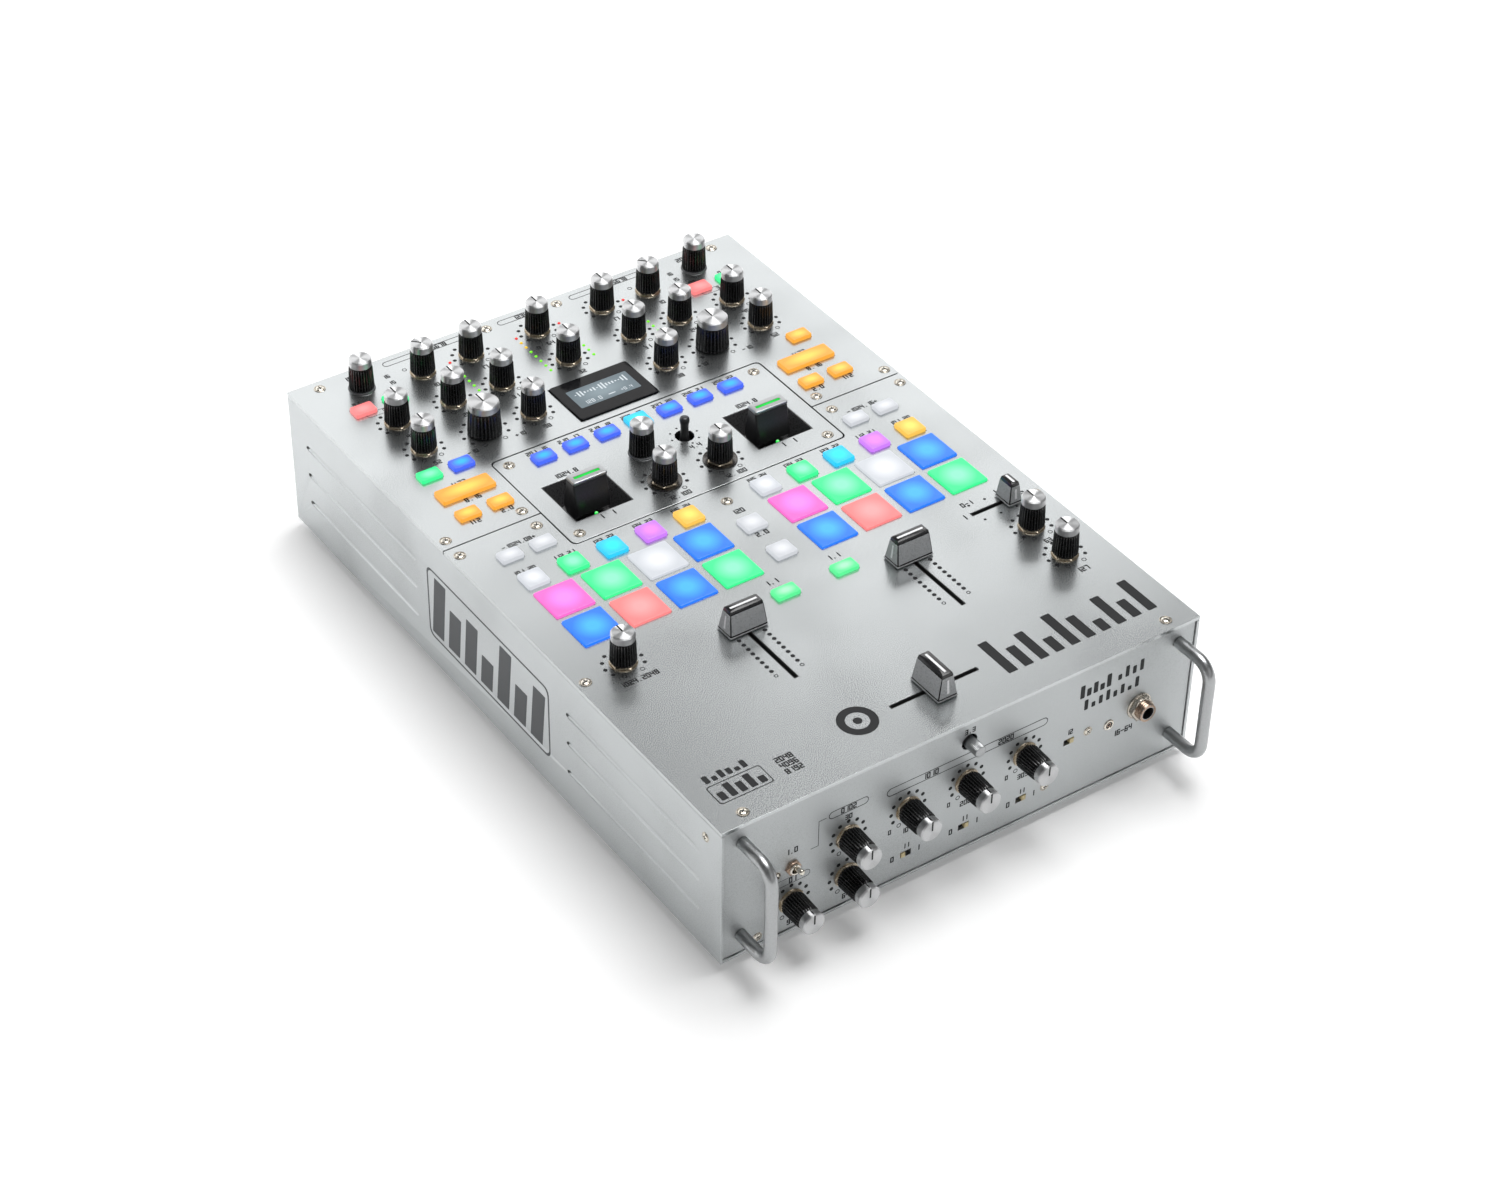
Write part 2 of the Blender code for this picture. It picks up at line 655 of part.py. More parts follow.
def make_stick():
    """A short stick on a flat ball that rocks just under the plate."""
    tip = HEIGHT + STICK_TOP - STICK_AXIS
    bm = bmesh.new()
    add_turned(bm, [*STICK_BALL, *((radius, tip + z) for radius, z in STICK_TIP)], HOLE_SIDES)
    stick = object_from(bm, "select_stick", (*STICK, STICK_AXIS))
    finish(stick, "knob", smooth=True)


def make_paddle(name, x):
    """A flared lever on a cross axis just under the plate; its outline is in y and z."""
    top = HEIGHT + PADDLE_TOP - PADDLE_AXIS
    rear = [*PADDLE_FLANK, *((y, top + z) for y, z in PADDLE_TIP)]
    outline = rear + [(-y, z) for y, z in reversed(rear)]
    half = PADDLE_WIDTH / 2
    bm = bmesh.new()
    add_rings(bm, [[(side, y, z) for y, z in outline] for side in (-half, half)])
    paddle = object_from(bm, name, (x, PADDLE_Y, PADDLE_AXIS))
    finish(paddle, "cap")


def make_fader_cap(name, origin, shape, along_y):
    """A tapered cap with a thin stem through the slot; along_y says which way its slot runs."""
    base, top, height = shape
    shoulder = tuple(size + CAP_SHOULDER for size in top)
    stem = (STEM_THICK, STEM_WIDE) if along_y else (STEM_WIDE, STEM_THICK)
    levels = {
        "": (base, shoulder, CAP_LIFT, height - CAP_RIM),
        "_crown": (shoulder, top, height - CAP_RIM - OVERLAP, height),
        "_stem": (stem, stem, FADER_STEM_END - HEIGHT, CAP_LIFT + CAP_RIM),
    }
    parts = []
    for ending, level in levels.items():
        bm = bmesh.new()
        add_frustum(bm, *level)
        parts.append(object_from(bm, name + ending, (*origin, HEIGHT)))
    for part in parts[1:]:
        part.hide_render = True
        part.display_type = "WIRE"
        combine(parts[0], part, "UNION")
    finish(parts[0], "cap")


def make_faders():
    for side, x in zip(("left", "right"), CHANNEL_FADER_X):
        make_fader_cap("channel_fader_" + side, (x, CHANNEL_FADER_Y), CHANNEL_CAP, True)
    make_fader_cap("crossfader", CROSSFADER, CROSS_CAP, False)
    make_fader_cap("cue_fader", CUE_FADER, CUE_CAP, False)


def make_display():
    x, y = DISPLAY
    half_x, half_y = DISPLAY_SIZE[0] / 2, DISPLAY_SIZE[1] / 2
    outline = rounded(x - half_x, y - half_y, x + half_x, y + half_y, DISPLAY_CORNER)
    bm = bmesh.new()
    add_prism(bm, outline, DISPLAY_UNDER, HEIGHT + DISPLAY_PROUD)
    finish(object_from(bm, "display_module"), "gloss")


def block_under(centre, size, top):
    """A block soldered in the control board: its foot is sunk in the board, its top is given."""
    sunk = BOARD_TOP - BOARD_THICK / 2
    (x0, y0), _, (x1, y1), _ = centred(*centre, *size)
    return (x0, y0, sunk), (x1, y1, top)


def board_components():
    """Blocks soldered on the control board, as (low corner, high corner)."""
    sunk = BOARD_TOP - BOARD_THICK / 2
    blocks = [block_under((x, y), POT_BODY, POT_TOP) for _, x, y, _ in top_knobs()]
    blocks += [((*low, sunk), (*high, FADER_FRAME_TOP)) for low, high in FADER_FRAMES]
    paddle_top = PADDLE_AXIS - 6.0  # clear of the lever's lower end
    blocks += [block_under((x, PADDLE_Y), PADDLE_SWITCH, paddle_top) for x in PADDLE_X]
    blocks.append(block_under(STICK, (STICK_SWITCH, STICK_SWITCH), POT_TOP))
    return blocks + [FADER_LINK]


def front_board_components():
    """Controls behind the front panel, standing on the upright board."""
    front, back = FRONT_BODY
    half_x, half_z = POT_BODY[0] / 2, POT_BODY[1] / 2
    places = FRONT_KNOBS.values()
    blocks = [((x - half_x, front, z - half_z), (x + half_x, back, z + half_z)) for x, z in places]
    sizes = [(place, 4.5, 3.0) for place in SLIDE_SWITCHES] + [(LEVER, 3.5, 6.0)]
    front, back = FRONT_BODY_Y
    for (x, z), half_x, half_z in sizes:
        blocks.append(((x - half_x, front, z - half_z), (x + half_x, back, z + half_z)))
    return blocks


def make_boards():
    """The control board under the top, the upright front board and the rear board with the supply."""
    bm = bmesh.new()
    add_box(bm, *CONTROL_BOARD)
    board = object_from(bm, "circuit_boards")
    groups = {name: [corners] for name, corners in OTHER_BOARDS.items()}
    groups = {"top_controls": board_components(), **groups, "front_controls": front_board_components()}
    for name, blocks in groups.items():
        bm = bmesh.new()
        for low, high in blocks:
            add_box(bm, low, high)
        combine(board, helper(name, bm), "UNION")
    finish(board, "board")


def make_feet():
    """Round feet with a chamfered lower rim, a small gap under the tray."""
    rim = FOOT_RADIUS - FOOT_CHAMFER
    profile = [(0, -FOOT_HEIGHT), (rim, -FOOT_HEIGHT), (FOOT_RADIUS, FOOT_CHAMFER - FOOT_HEIGHT)]
    profile += [(FOOT_RADIUS, -GAP), (0, -GAP)]
    for name, (x, y) in FOOT_PLACES.items():
        bm = bmesh.new()
        add_turned(bm, profile, FOOT_SIDES)
        finish(object_from(bm, name, (x, y, 0)), "rubber", smooth=True)


def main():
    clear_scene()
    make_chassis()
    make_rear_plate()
    make_fx_plate()
    make_front_plate()
    make_front_panel()
    make_handle("handle_left", HANDLE_X)
    make_handle("handle_right", mirrored(HANDLE_X))
    make_display()
    make_key_mats()
    make_knobs()
    make_tension_knob()
    make_lever()
    make_stick()
    for side, x in zip(("left", "right"), PADDLE_X):
        make_paddle("fx_paddle_" + side, x)
    make_faders()
    make_boards()
    make_feet()


main()
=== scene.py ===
# %% [markdown]
# # A two-channel mixer in bead-blasted metal
# The hard shapes come ready as CAD solids: a folded tray, three top plates, knobs, fader caps, keys.
# This lesson gives them rounded edges, turned caps, printed scales, lit keys and real finishes.
# Each piece is a numpy surface: a grid of points, joined by four-sided faces, put in a mesh at once.

# %% Load the fixed frame
import math

import bmesh
import bpy
import numpy as np
from mathutils import Matrix, Vector


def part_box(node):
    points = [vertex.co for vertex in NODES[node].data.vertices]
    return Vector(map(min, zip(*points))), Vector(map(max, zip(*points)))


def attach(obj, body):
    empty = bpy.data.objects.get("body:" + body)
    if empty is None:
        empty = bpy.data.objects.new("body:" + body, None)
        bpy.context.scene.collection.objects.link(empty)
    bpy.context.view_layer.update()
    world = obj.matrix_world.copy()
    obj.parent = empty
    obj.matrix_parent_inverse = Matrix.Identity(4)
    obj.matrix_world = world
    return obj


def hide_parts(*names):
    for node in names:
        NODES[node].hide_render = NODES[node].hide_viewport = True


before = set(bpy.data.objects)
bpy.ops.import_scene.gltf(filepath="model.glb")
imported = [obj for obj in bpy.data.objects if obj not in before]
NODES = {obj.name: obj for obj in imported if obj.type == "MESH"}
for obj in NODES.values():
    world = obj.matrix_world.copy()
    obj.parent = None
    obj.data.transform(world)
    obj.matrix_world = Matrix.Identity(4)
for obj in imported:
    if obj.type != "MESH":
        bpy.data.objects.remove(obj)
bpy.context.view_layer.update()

# %% [markdown]
# ## Places
# A sheet-metal drawing is dimensioned from one corner of the tray, in millimetres, and so is this.
# The corner itself is read from the CAD tray, so that a piece can't drift away from the solids.

# %% Corner of the tray
MM = 0.001
CORNER = np.array(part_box("chassis")[0])
WIDE, LONG, _ = (np.array(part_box("chassis")[1]) - CORNER) / MM


def extent(node):
    """Lowest and highest corner of a CAD node, in millimetres from the tray's corner."""
    low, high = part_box(node)
    return (np.array(low) - CORNER) / MM, (np.array(high) - CORNER) / MM


def middle(node):
    """Middle of a CAD node's box, in the same millimetres."""
    low, high = extent(node)
    return (low + high) / 2


TOP = extent("front_top_plate")[1][2]
JACK_PROUD = 7.0  # the socket barrel is the panel's foremost point
FACE = extent("front_panel")[0][1] + JACK_PROUD
print("tray", round(WIDE, 1), "x", round(LONG, 1), "mm, plate top at", round(TOP, 2))

# %% [markdown]
# ## Surfaces from grids
# Every added shape is either a profile turned or carried round an outline, or a strip along a path.
# Both give a grid of points, so one function can join neighbours into faces and lay the UV map.


# %% Grids, outlines and lofts
def sheet(points, uv=None, material=0):
    """A grid (rows, columns, 3) as a part: face (i, j) joins the point with its right, upper right and
    upper neighbours; u runs along the columns and v along the rows unless given."""
    rows, columns = points.shape[:2]
    i, j = np.meshgrid(np.arange(rows - 1), np.arange(columns - 1), indexing="ij")
    first = (i * columns + j).ravel()
    faces = np.stack([first, first + 1, first + columns + 1, first + columns], 1)
    if uv is None:
        v, u = np.meshgrid(np.linspace(0, 1, rows), np.linspace(0, 1, columns), indexing="ij")
        uv = np.stack([u, v], -1)
    return points.reshape(-1, 3), faces, uv.reshape(-1, 2), np.full(len(faces), material)


def stacked(outlines, heights, material=0):
    """Flat outlines, each set at its height, as the rows of one grid."""
    rows = [np.column_stack([ring, np.full(len(ring), z)]) for ring, z in zip(outlines, heights)]
    return sheet(np.stack(rows), material=material)


def joined(parts):
    """Several parts as one: the points are stacked, and each face's numbers are shifted to match."""
    starts = np.cumsum([0] + [len(p[0]) for p in parts[:-1]])
    return (
        np.concatenate([p[0] for p in parts]),
        np.concatenate([p[1] + s for p, s in zip(parts, starts)]),
        np.concatenate([p[2] for p in parts]),
        np.concatenate([p[3] for p in parts]),
    )


def stamped(part, places):
    """One copy of a part at each place: places are added to all its points by broadcasting."""
    places = np.asarray(places, float).reshape(-1, 3)
    points, faces, uv, materials = part
    count = len(places)
    shift = np.arange(count)[:, None, None] * len(points)
    return (
        (places[:, None] + points[None]).reshape(-1, 3),
        (faces[None] + shift).reshape(-1, 4),
        np.tile(uv, (count, 1)),
        np.tile(materials, count),
    )


def moved(part, turn=None, shift=(0, 0, 0)):
    """The part's points multiplied by a 3 x 3 turn, then shifted."""
    turn = np.eye(3) if turn is None else np.array(turn)
    return (part[0] @ turn.T + np.array(shift, float), *part[1:])


def painted(part, material):
    """The same part with another material number on all its faces."""
    return (*part[:3], np.full(len(part[1]), material))


def about(axis, degrees):
    """Turning matrix about an axis of the frame."""
    return np.array(Matrix.Rotation(math.radians(degrees), 3, axis))


UPRIGHT = about("X", 90)  # a shape drawn on the plate, turned to face the front: z becomes -y


def rounded(width, depth, corner, steps=5):
    """Closed outline of a rounded rectangle: a quarter turn of points about each corner's centre."""
    corner = min(corner, width / 2 - 1e-4, depth / 2 - 1e-4)
    turn = np.radians(np.arange(4)[:, None] * 90 + np.linspace(0, 90, steps)[None])
    signs = np.array([[1, 1], [-1, 1], [-1, -1], [1, -1]])
    centre = signs * np.array([width / 2 - corner, depth / 2 - corner])
    points = centre[:, None] + corner * np.stack([np.cos(turn), np.sin(turn)], -1)
    points = points.reshape(-1, 2)
    return np.concatenate([points, points[:1]])


def loft(outline, levels, material=0):
    """Outline carried up a list of (share of the outline's size, height) levels. The map's u and v are
    the point's place in the outline, so that a pattern on it runs from the middle to the edge."""
    levels = np.array(levels, float)
    flat = outline[None] * levels[:, :1, None]
    height = np.broadcast_to(levels[:, 1, None, None], flat.shape[:2] + (1,))
    half = np.abs(outline).max(axis=0)
    return sheet(np.concatenate([flat, height], -1), flat / half / 2 + 0.5, material)


def slab(width, depth, corner, low, high, material=0, steps=5, soft=0.0, crown=0.0):
    """Rounded rectangular block: its side stands on the outline, and its rim is rounded by `soft`."""
    size = max(width, depth) / 2
    levels = [(0, low), (1, low), (1, high - soft)]
    for angle in (np.linspace(0, 90, 4)[1:] if soft else ()):
        shrink = soft * (1 - math.cos(math.radians(angle)))
        levels.append((1 - shrink / size, high - soft + soft * math.sin(math.radians(angle))))
    levels.append((levels[-1][0] * 0.97, high) if soft else (1, high))
    if crown:
        levels += [(share, high + crown * (1 - share**2)) for share in (0.75, 0.45)]
    return loft(rounded(width, depth, corner, steps), levels + [(0, high + crown)], material)


def turned(profile, sides=32, material=0, flutes=0, flute_depth=0.0, skip=(), polar=False):
    """Profile of (radius, height) turned about Z: x = r cos a, y = r sin a. Flutes push r in by a wave of
    the angle on the levels that skip doesn't name. The map is the view from above, or with polar it is
    the share of the turn in u and the distance along the profile in v."""
    profile = np.array(profile, float)
    turn = np.linspace(0, 2 * math.pi, sides + 1)
    radius = np.repeat(profile[:, :1], sides + 1, 1)
    if flutes:
        wave = flute_depth * (0.5 - 0.5 * np.cos(flutes * turn)) ** 1.6
        fluted = np.array([level not in skip for level in range(len(profile))], float)
        radius = radius - fluted[:, None] * wave[None]
    x, y = radius * np.cos(turn), radius * np.sin(turn)
    z = np.repeat(profile[:, 1:], sides + 1, 1)
    if polar:
        along = np.cumsum(np.r_[0, np.hypot(*np.diff(profile, axis=0).T)]) / 10
        v, u = np.meshgrid(along, turn / (2 * math.pi), indexing="ij")
    else:
        size = profile[:, 0].max() * 2
        u, v = x / size + 0.5, y / size + 0.5
    return sheet(np.stack([x, y, z], -1), np.stack([u, v], -1), material)


def frame_ring(outline, thickness, low, high, material=0):
    """Flat band just inside an outline: out along the outline, in by the thickness, closed all round."""
    half = np.abs(outline).max(axis=0)
    inner = outline * (1 - thickness / half)
    return stacked([outline, outline, inner, inner, outline], [low, high, high, low, low], material)


def bent(path, radius, sides=16, material=0):
    """Round bar along a path that lies in one plane x = constant: at each point the ring is spanned by
    X and by the path's normal, and both ends are closed to a point."""
    path = np.array(path, float)
    along = np.gradient(path, axis=0)
    along /= np.linalg.norm(along, axis=1)[:, None]
    side = np.array([1.0, 0, 0])
    normal = np.cross(along, side)
    turn = np.linspace(0, 2 * math.pi, sides + 1)[None, :, None]
    rings = path[:, None] + radius * (np.cos(turn) * side + np.sin(turn) * normal[:, None])
    ends = np.repeat(path[[0, -1], None], sides + 1, 1)
    return sheet(np.concatenate([ends[:1], rings, ends[1:]]), material=material)


print("surface helpers ready")

# %% [markdown]
# ## From points to an object
# `piece` puts the arrays in a mesh with `foreach_set`, closes seams and poles by merging doubles,
# turns all faces outward, shades smoothly up to a sharp-edge angle, and rides on a CAD body.
# `dress` is the same for a part that moves: its CAD node has a body of its own, with its name.


# %% Making a piece
SAME_POINT, NO_LENGTH = 2e-6, 1e-7  # metres: closer points are one, shorter edges are dropped


def piece(name, parts, materials, body="body_shell", node=None, sharp=38):
    """Stack the parts, convert millimetres to metres from the tray's corner, and finish the mesh."""
    points, faces, uv, numbers = joined(parts)
    mesh = bpy.data.meshes.new(name)
    mesh.vertices.add(len(points))
    mesh.vertices.foreach_set("co", (points * MM + CORNER).ravel())
    mesh.loops.add(faces.size)
    mesh.loops.foreach_set("vertex_index", faces.ravel().astype(np.int32))
    mesh.polygons.add(len(faces))
    mesh.polygons.foreach_set("loop_start", (np.arange(len(faces)) * 4).astype(np.int32))
    mesh.polygons.foreach_set("material_index", numbers.astype(np.int32))
    layer = mesh.uv_layers.new(name="UVMap")
    layer.data.foreach_set("uv", uv[faces.ravel()].ravel())
    mesh.update(calc_edges=True)
    work = bmesh.new()
    work.from_mesh(mesh)
    bmesh.ops.remove_doubles(work, verts=work.verts, dist=SAME_POINT)
    bmesh.ops.dissolve_degenerate(work, edges=work.edges, dist=NO_LENGTH)
    bmesh.ops.recalc_face_normals(work, faces=work.faces)
    work.to_mesh(mesh)
    work.free()
    return finished(name, mesh, materials, body, node, sharp)


def dress(node, name, parts, materials, sharp=38):
    """New look of a moving CAD node: it rides on that node's body and takes its place."""
    return piece(name, parts, materials, node, node, sharp)


def finished(name, mesh, materials, body, node, sharp):
    """Link the mesh as an object at the origin, shade it, hang it on its body, and hide the CAD node it replaces."""
    obj = bpy.data.objects.new(name, mesh)
    bpy.context.scene.collection.objects.link(obj)
    for material in materials:
        mesh.materials.append(material)
    mesh.shade_smooth()
    mesh.set_sharp_from_angle(angle=math.radians(sharp))
    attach(obj, body)
    if node:
        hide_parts(node)
    return obj


def cad_copy(node, name, material, bevel, sharp=30):
    """A CAD node's triangles, merged and cleared of flat edges, with its hard edges rounded."""
    work = bmesh.new()
    work.from_mesh(NODES[node].data)
    bmesh.ops.remove_doubles(work, verts=work.verts, dist=SAME_POINT)
    flat = math.radians(1.0)
    bmesh.ops.dissolve_limit(work, angle_limit=flat, verts=work.verts, edges=work.edges)
    mesh = bpy.data.meshes.new(name)
    work.to_mesh(mesh)
    work.free()
    mesh.materials.clear()
    obj = finished(name, mesh, [material], "body_shell", node, sharp)
    modifier = obj.modifiers.new("edge", "BEVEL")
    modifier.width, modifier.segments = bevel * MM, 2
    modifier.limit_method, modifier.angle_limit = "ANGLE", math.radians(40)
    modifier.harden_normals = modifier.use_clamp_overlap = True


def repaint(node, material):
    """A CAD node that keeps its own mesh gets one finish in place of its plain one."""
    NODES[node].data.materials.clear()
    NODES[node].data.materials.append(material)


print("object helpers ready")

# %% [markdown]
# ## Finishes
# Each finish is a small node tree on one Principled shader. Grain comes from noise in Object
# coordinates, so it stays still on the piece. Numbers that don't vary sit on the shader's sockets.


# %% Node helpers
def shader(name, colour, roughness, metallic=0.0, **sockets):
    """A Principled material; every keyword is the name of a socket with _ for a space."""
    material = bpy.data.materials.new(name)
    material.use_nodes = True
    bsdf = material.node_tree.nodes["Principled BSDF"]
    bsdf.inputs["Base Color"].default_value = (*colour, 1)
    bsdf.inputs["Roughness"].default_value = roughness
    bsdf.inputs["Metallic"].default_value = metallic
    for socket, value in sockets.items():
        bsdf.inputs[socket.replace("_", " ")].default_value = value
    material.diffuse_color = (*colour, 1)
    return material


def add_node(material, kind, inputs=None, **settings):
    """Add one shader node; inputs maps a socket to a value or to an output to link."""
    tree = material.node_tree
    made = tree.nodes.new("ShaderNode" + kind)
    for key, value in settings.items():
        setattr(made, key, value)
    for key, value in (inputs or {}).items():
        if isinstance(value, bpy.types.NodeSocket):
            tree.links.new(value, made.inputs[key])
        else:
            made.inputs[key].default_value = value
    return made


def bsdf_of(material):
    return material.node_tree.nodes["Principled BSDF"]


def grain(material, scale, detail=3.0):
    """Noise over the piece in Object coordinates: scale is in cells for each metre."""
    place = add_node(material, "TexCoord").outputs["Object"]
    inputs = {"Vector": place, "Scale": scale, "Detail": detail}
    return add_node(material, "TexNoise", inputs).outputs[0]


def ramp(material, driver, first, last):
    """Colour ramp with two stops, each (position, colour)."""
    made = add_node(material, "ValToRGB", {"Fac": driver})
    for stop, (position, colour) in zip(made.color_ramp.elements, (first, last)):
        stop.position, stop.color = position, (*colour, 1)
    return made.outputs[0]


def span(material, driver, low, high, start, end):
    """Number that runs evenly from start to end while its driver runs from low to high."""
    inputs = {"Value": driver, "From Min": low, "From Max": high, "To Min": start, "To Max": end}
    return add_node(material, "MapRange", inputs).outputs[0]


def vary(material, noise, dark, light, socket="Base Color", low=0.35, high=0.65):
    """Noise drives a socket between two values: colours by a ramp, numbers by a range."""
    if socket.endswith("Color"):
        result = ramp(material, noise, (low, dark), (high, light))
    else:
        result = span(material, noise, low, high, dark, light)
    material.node_tree.links.new(result, bsdf_of(material).inputs[socket])


def emboss(material, height, distance):
    """Height field to the shader's normal: distance is the real height in millimetres."""
    bump = add_node(material, "Bump", {"Height": height, "Distance": distance * MM, "Strength": 1.0})
    material.node_tree.links.new(bump.outputs[0], bsdf_of(material).inputs["Normal"])


def shade_of(colour, factor):
    return tuple(min(1.0, channel * factor) for channel in colour)


def plain(name, colour, roughness, metallic=0.0, scale=900, spread=0.12, bump=0.02, **sockets):
    """A finish with fine mottling: colour, roughness and a little relief follow the same noise."""
    material = shader(name, colour, roughness, metallic, **sockets)
    noise = grain(material, scale)
    vary(material, noise, shade_of(colour, 1 - spread), shade_of(colour, 1 + spread))
    vary(material, noise, roughness * 0.85, min(1.0, roughness * 1.15), "Roughness")
    if bump:
        emboss(material, noise, bump)
    return material


print("finish helpers ready")

# %% [markdown]
# ### Bead-blasted metal
# The tray and plates are blasted and clear-coated: a pale grey metal whose sparkle is finer than a
# grain of sand. Two noises do it, one for the grain and one for the faint large-scale unevenness.


# %% Blasted metal, steel, nickel and brass
def blasted(name, colour, roughness, relief):
    """Fine grain of about 0.4 mm over slow clouds of about 60 mm."""
    material = shader(name, colour, roughness, 1.0)
    fine = grain(material, 2600, detail=2.0)
    cloud = grain(material, 14, detail=2.0)
    mixed = add_node(material, "Math", {0: fine, 1: cloud}, operation="ADD").outputs[0]
    vary(material, mixed, shade_of(colour, 0.86), shade_of(colour, 1.12), low=0.75, high=1.25)
    vary(material, fine, roughness - 0.06, roughness + 0.08, "Roughness")
    emboss(material, fine, relief)
    return material


METAL = (0.50, 0.52, 0.525)
plate_metal = blasted("blasted_metal", METAL, 0.26, 0.004)
tray_metal = blasted("blasted_tray", METAL, 0.42, 0.005)
# The front panel is the plates' metal with its colour made 7 % darker: painted shade on the front face.
panel_metal_with_painted_shade = blasted("blasted_panel", shade_of(METAL, 0.93), 0.5, 0.006)
# After the name: colour, roughness, metallic, then cells for each metre, spread and relief of the grain.
handle_metal = plain("satin_handle", (0.42, 0.43, 0.435), 0.34, 1, 1400, 0.05, 0.006)
screw_metal = plain("nickel_screw", (0.72, 0.68, 0.60), 0.24, 1, 1800, 0.15, 0.004)
cup_metal = plain("warm_nickel_cup", (0.50, 0.46, 0.40), 0.26, 1, 1800, 0.1, 0.004)
brass = plain("dull_brass", (0.50, 0.43, 0.33), 0.3, 1, 1800, 0.15, 0.006)
dish_metal = plain("dark_nickel_dish", (0.12, 0.115, 0.11), 0.25, 1, 1500, 0.1, 0.004)
satin_top = plain("satin_top", (0.40, 0.41, 0.415), 0.34, 1, 1500, 0.06, 0.006)
copper = plain("threaded_copper", (0.42, 0.31, 0.24), 0.30, 1, 1800, 0.12, 0.006)
print("metals ready")

# %% [markdown]
# ### Plastics, rubber and ink
# Knobs are matt black nylon, fader caps grey moulded plastic, feet rubber, and the scales are
# screen-printed: ink is nearly black, slightly glossy, and stands a few hundredths proud.

# %% Plastics and ink
knob_black = plain(
    "knob_nylon", (0.005, 0.005, 0.0055), 0.24, 0, 2200, 0.3, 0.01, Specular_IOR_Level=0.9
)
line_black = plain(
    "pointer_black", (0.010, 0.010, 0.011), 0.4, 0, 2200, 0.2, 0, Specular_IOR_Level=0.15
)
cap_grey = plain("fader_grey", (0.40, 0.41, 0.42), 0.3, 0, 1500, 0.12, 0.01)
cap_black = plain("fader_black", (0.012, 0.012, 0.013), 0.22, 0, 1500, 0.2, 0.005)
line_white = plain("fader_line", (0.85, 0.86, 0.87), 0.4, 0, 1500, 0.05, 0)
satin_black = plain("satin_black", (0.024, 0.024, 0.026), 0.34, 0, 1600, 0.2, 0.008)
well_black = plain(
    "well_black", (0.05, 0.05, 0.052), 0.3, 0, 1600, 0.2, 0.004, Specular_IOR_Level=0.8
)
bezel_black = plain(
    "bezel_black", (0.008, 0.008, 0.009), 0.1, 0, 400, 0.2, 0, Specular_IOR_Level=0.16
)
# Dark finish for black plastic parts, and for dark bars and discs that are painted shade of holes and recesses.
black_parts_and_painted_hole_shade = plain("black_parts_and_painted_hole_shade", (0.012, 0.012, 0.013), 0.55, 0, 600, 0.3, 0.02)
skirt_grey = plain("clear_grey_skirt", (0.10, 0.105, 0.11), 0.12, 0, 900, 0.1, 0.004)
cream = plain("switch_cream", (0.60, 0.50, 0.27), 0.45, 0, 1500, 0.1, 0.01)
ink_black = plain(
    "printed_black", (0.010, 0.0105, 0.012), 0.5, 0, 1200, 0.25, 0.004, Specular_IOR_Level=0.25
)
ink_grey = plain(
    "printed_grey", (0.075, 0.080, 0.085), 0.45, 0, 1200, 0.18, 0.004, Specular_IOR_Level=0.3
)
rubber = plain("foot_rubber", (0.022, 0.022, 0.023), 0.78, 0, 700, 0.3, 0.05)
board_green = plain("board_green", (0.010, 0.040, 0.020), 0.45, 0, 300, 0.4, 0.03)
silicone = plain("clear_silicone", (0.62, 0.64, 0.66), 0.45, 0, 800, 0.05, 0.01)
white_ring = plain("socket_white", (0.75, 0.75, 0.74), 0.4, 0, 1500, 0.05, 0.01)
red_ring = plain("socket_red", (0.45, 0.02, 0.02), 0.4, 0, 1500, 0.1, 0.01)
print(len(bpy.data.materials), "materials so far")

# %% [markdown]
# ### Spun metal of the knob caps
# A lathe leaves fine rings, and light on them gathers in two bright fans. An anisotropic shader
# with its tangent taken from the polar UV map gives the fans; a ring wave adds the tool marks.


# %% Spun metal
def spun(name, colour, roughness, anisotropy, rings):
    """Tool marks are a wave along v of the polar map; the tangent is the direction in which u grows, and
    a quarter turn from it light is spread across the marks."""
    material = shader(name, colour, roughness, 1.0, Anisotropic=anisotropy, Anisotropic_Rotation=0.25)
    place = add_node(material, "TexCoord").outputs["UV"]
    inputs = {"Vector": place, "Scale": rings, "Distortion": 1.5, "Detail": 2.0}
    marks = add_node(material, "TexWave", inputs, wave_type="BANDS", bands_direction="Y").outputs["Fac"]
    vary(material, marks, shade_of(colour, 0.9), shade_of(colour, 1.06), low=0, high=1)
    tangent = add_node(material, "Tangent", direction_type="UV_MAP", uv_map="UVMap")
    material.node_tree.links.new(tangent.outputs[0], bsdf_of(material).inputs["Tangent"])
    return material


spun_metal = spun("spun_aluminium", (0.60, 0.605, 0.61), 0.4, 0.97, 14.0)

# %% [markdown]
# ### Lit keys
# A key is a clear rubber cap over a coloured lamp: palest above the lamp and deeper toward the rim.
# The map of each cap runs from its middle to its edge, so one gradient lights every size of key.


# %% Lit key colours
def srgb(*channels):
    """Display values of 0 to 255 as linear light: ((c + 0.055) / 1.055) to the power 2.4."""
    values = np.array(channels, float) / 255
    return tuple(np.where(values <= 0.04045, values / 12.92, ((values + 0.055) / 1.055) ** 2.4))


def lit(name, centre, edge, strength=1.0, **sockets):
    """Emission follows the distance from the map's middle, over a glossy translucent skin."""
    centre, edge = srgb(*centre), srgb(*edge)
    material = shader(name, shade_of(edge, 0.14), 0.3, Emission_Strength=strength, **sockets)
    place = add_node(material, "TexCoord").outputs["UV"]
    inputs = {"Vector": place, "Location": (-1, -1, 0), "Scale": (2, 2, 0)}
    centred = add_node(material, "Mapping", inputs).outputs[0]
    falloff = add_node(material, "TexGradient", {"Vector": centred}, gradient_type="SPHERICAL")
    colour = ramp(material, falloff.outputs["Fac"], (0.08, edge), (0.75, centre))
    material.node_tree.links.new(colour, bsdf_of(material).inputs["Emission Color"])
    emboss(material, grain(material, 700), 0.01)
    return material


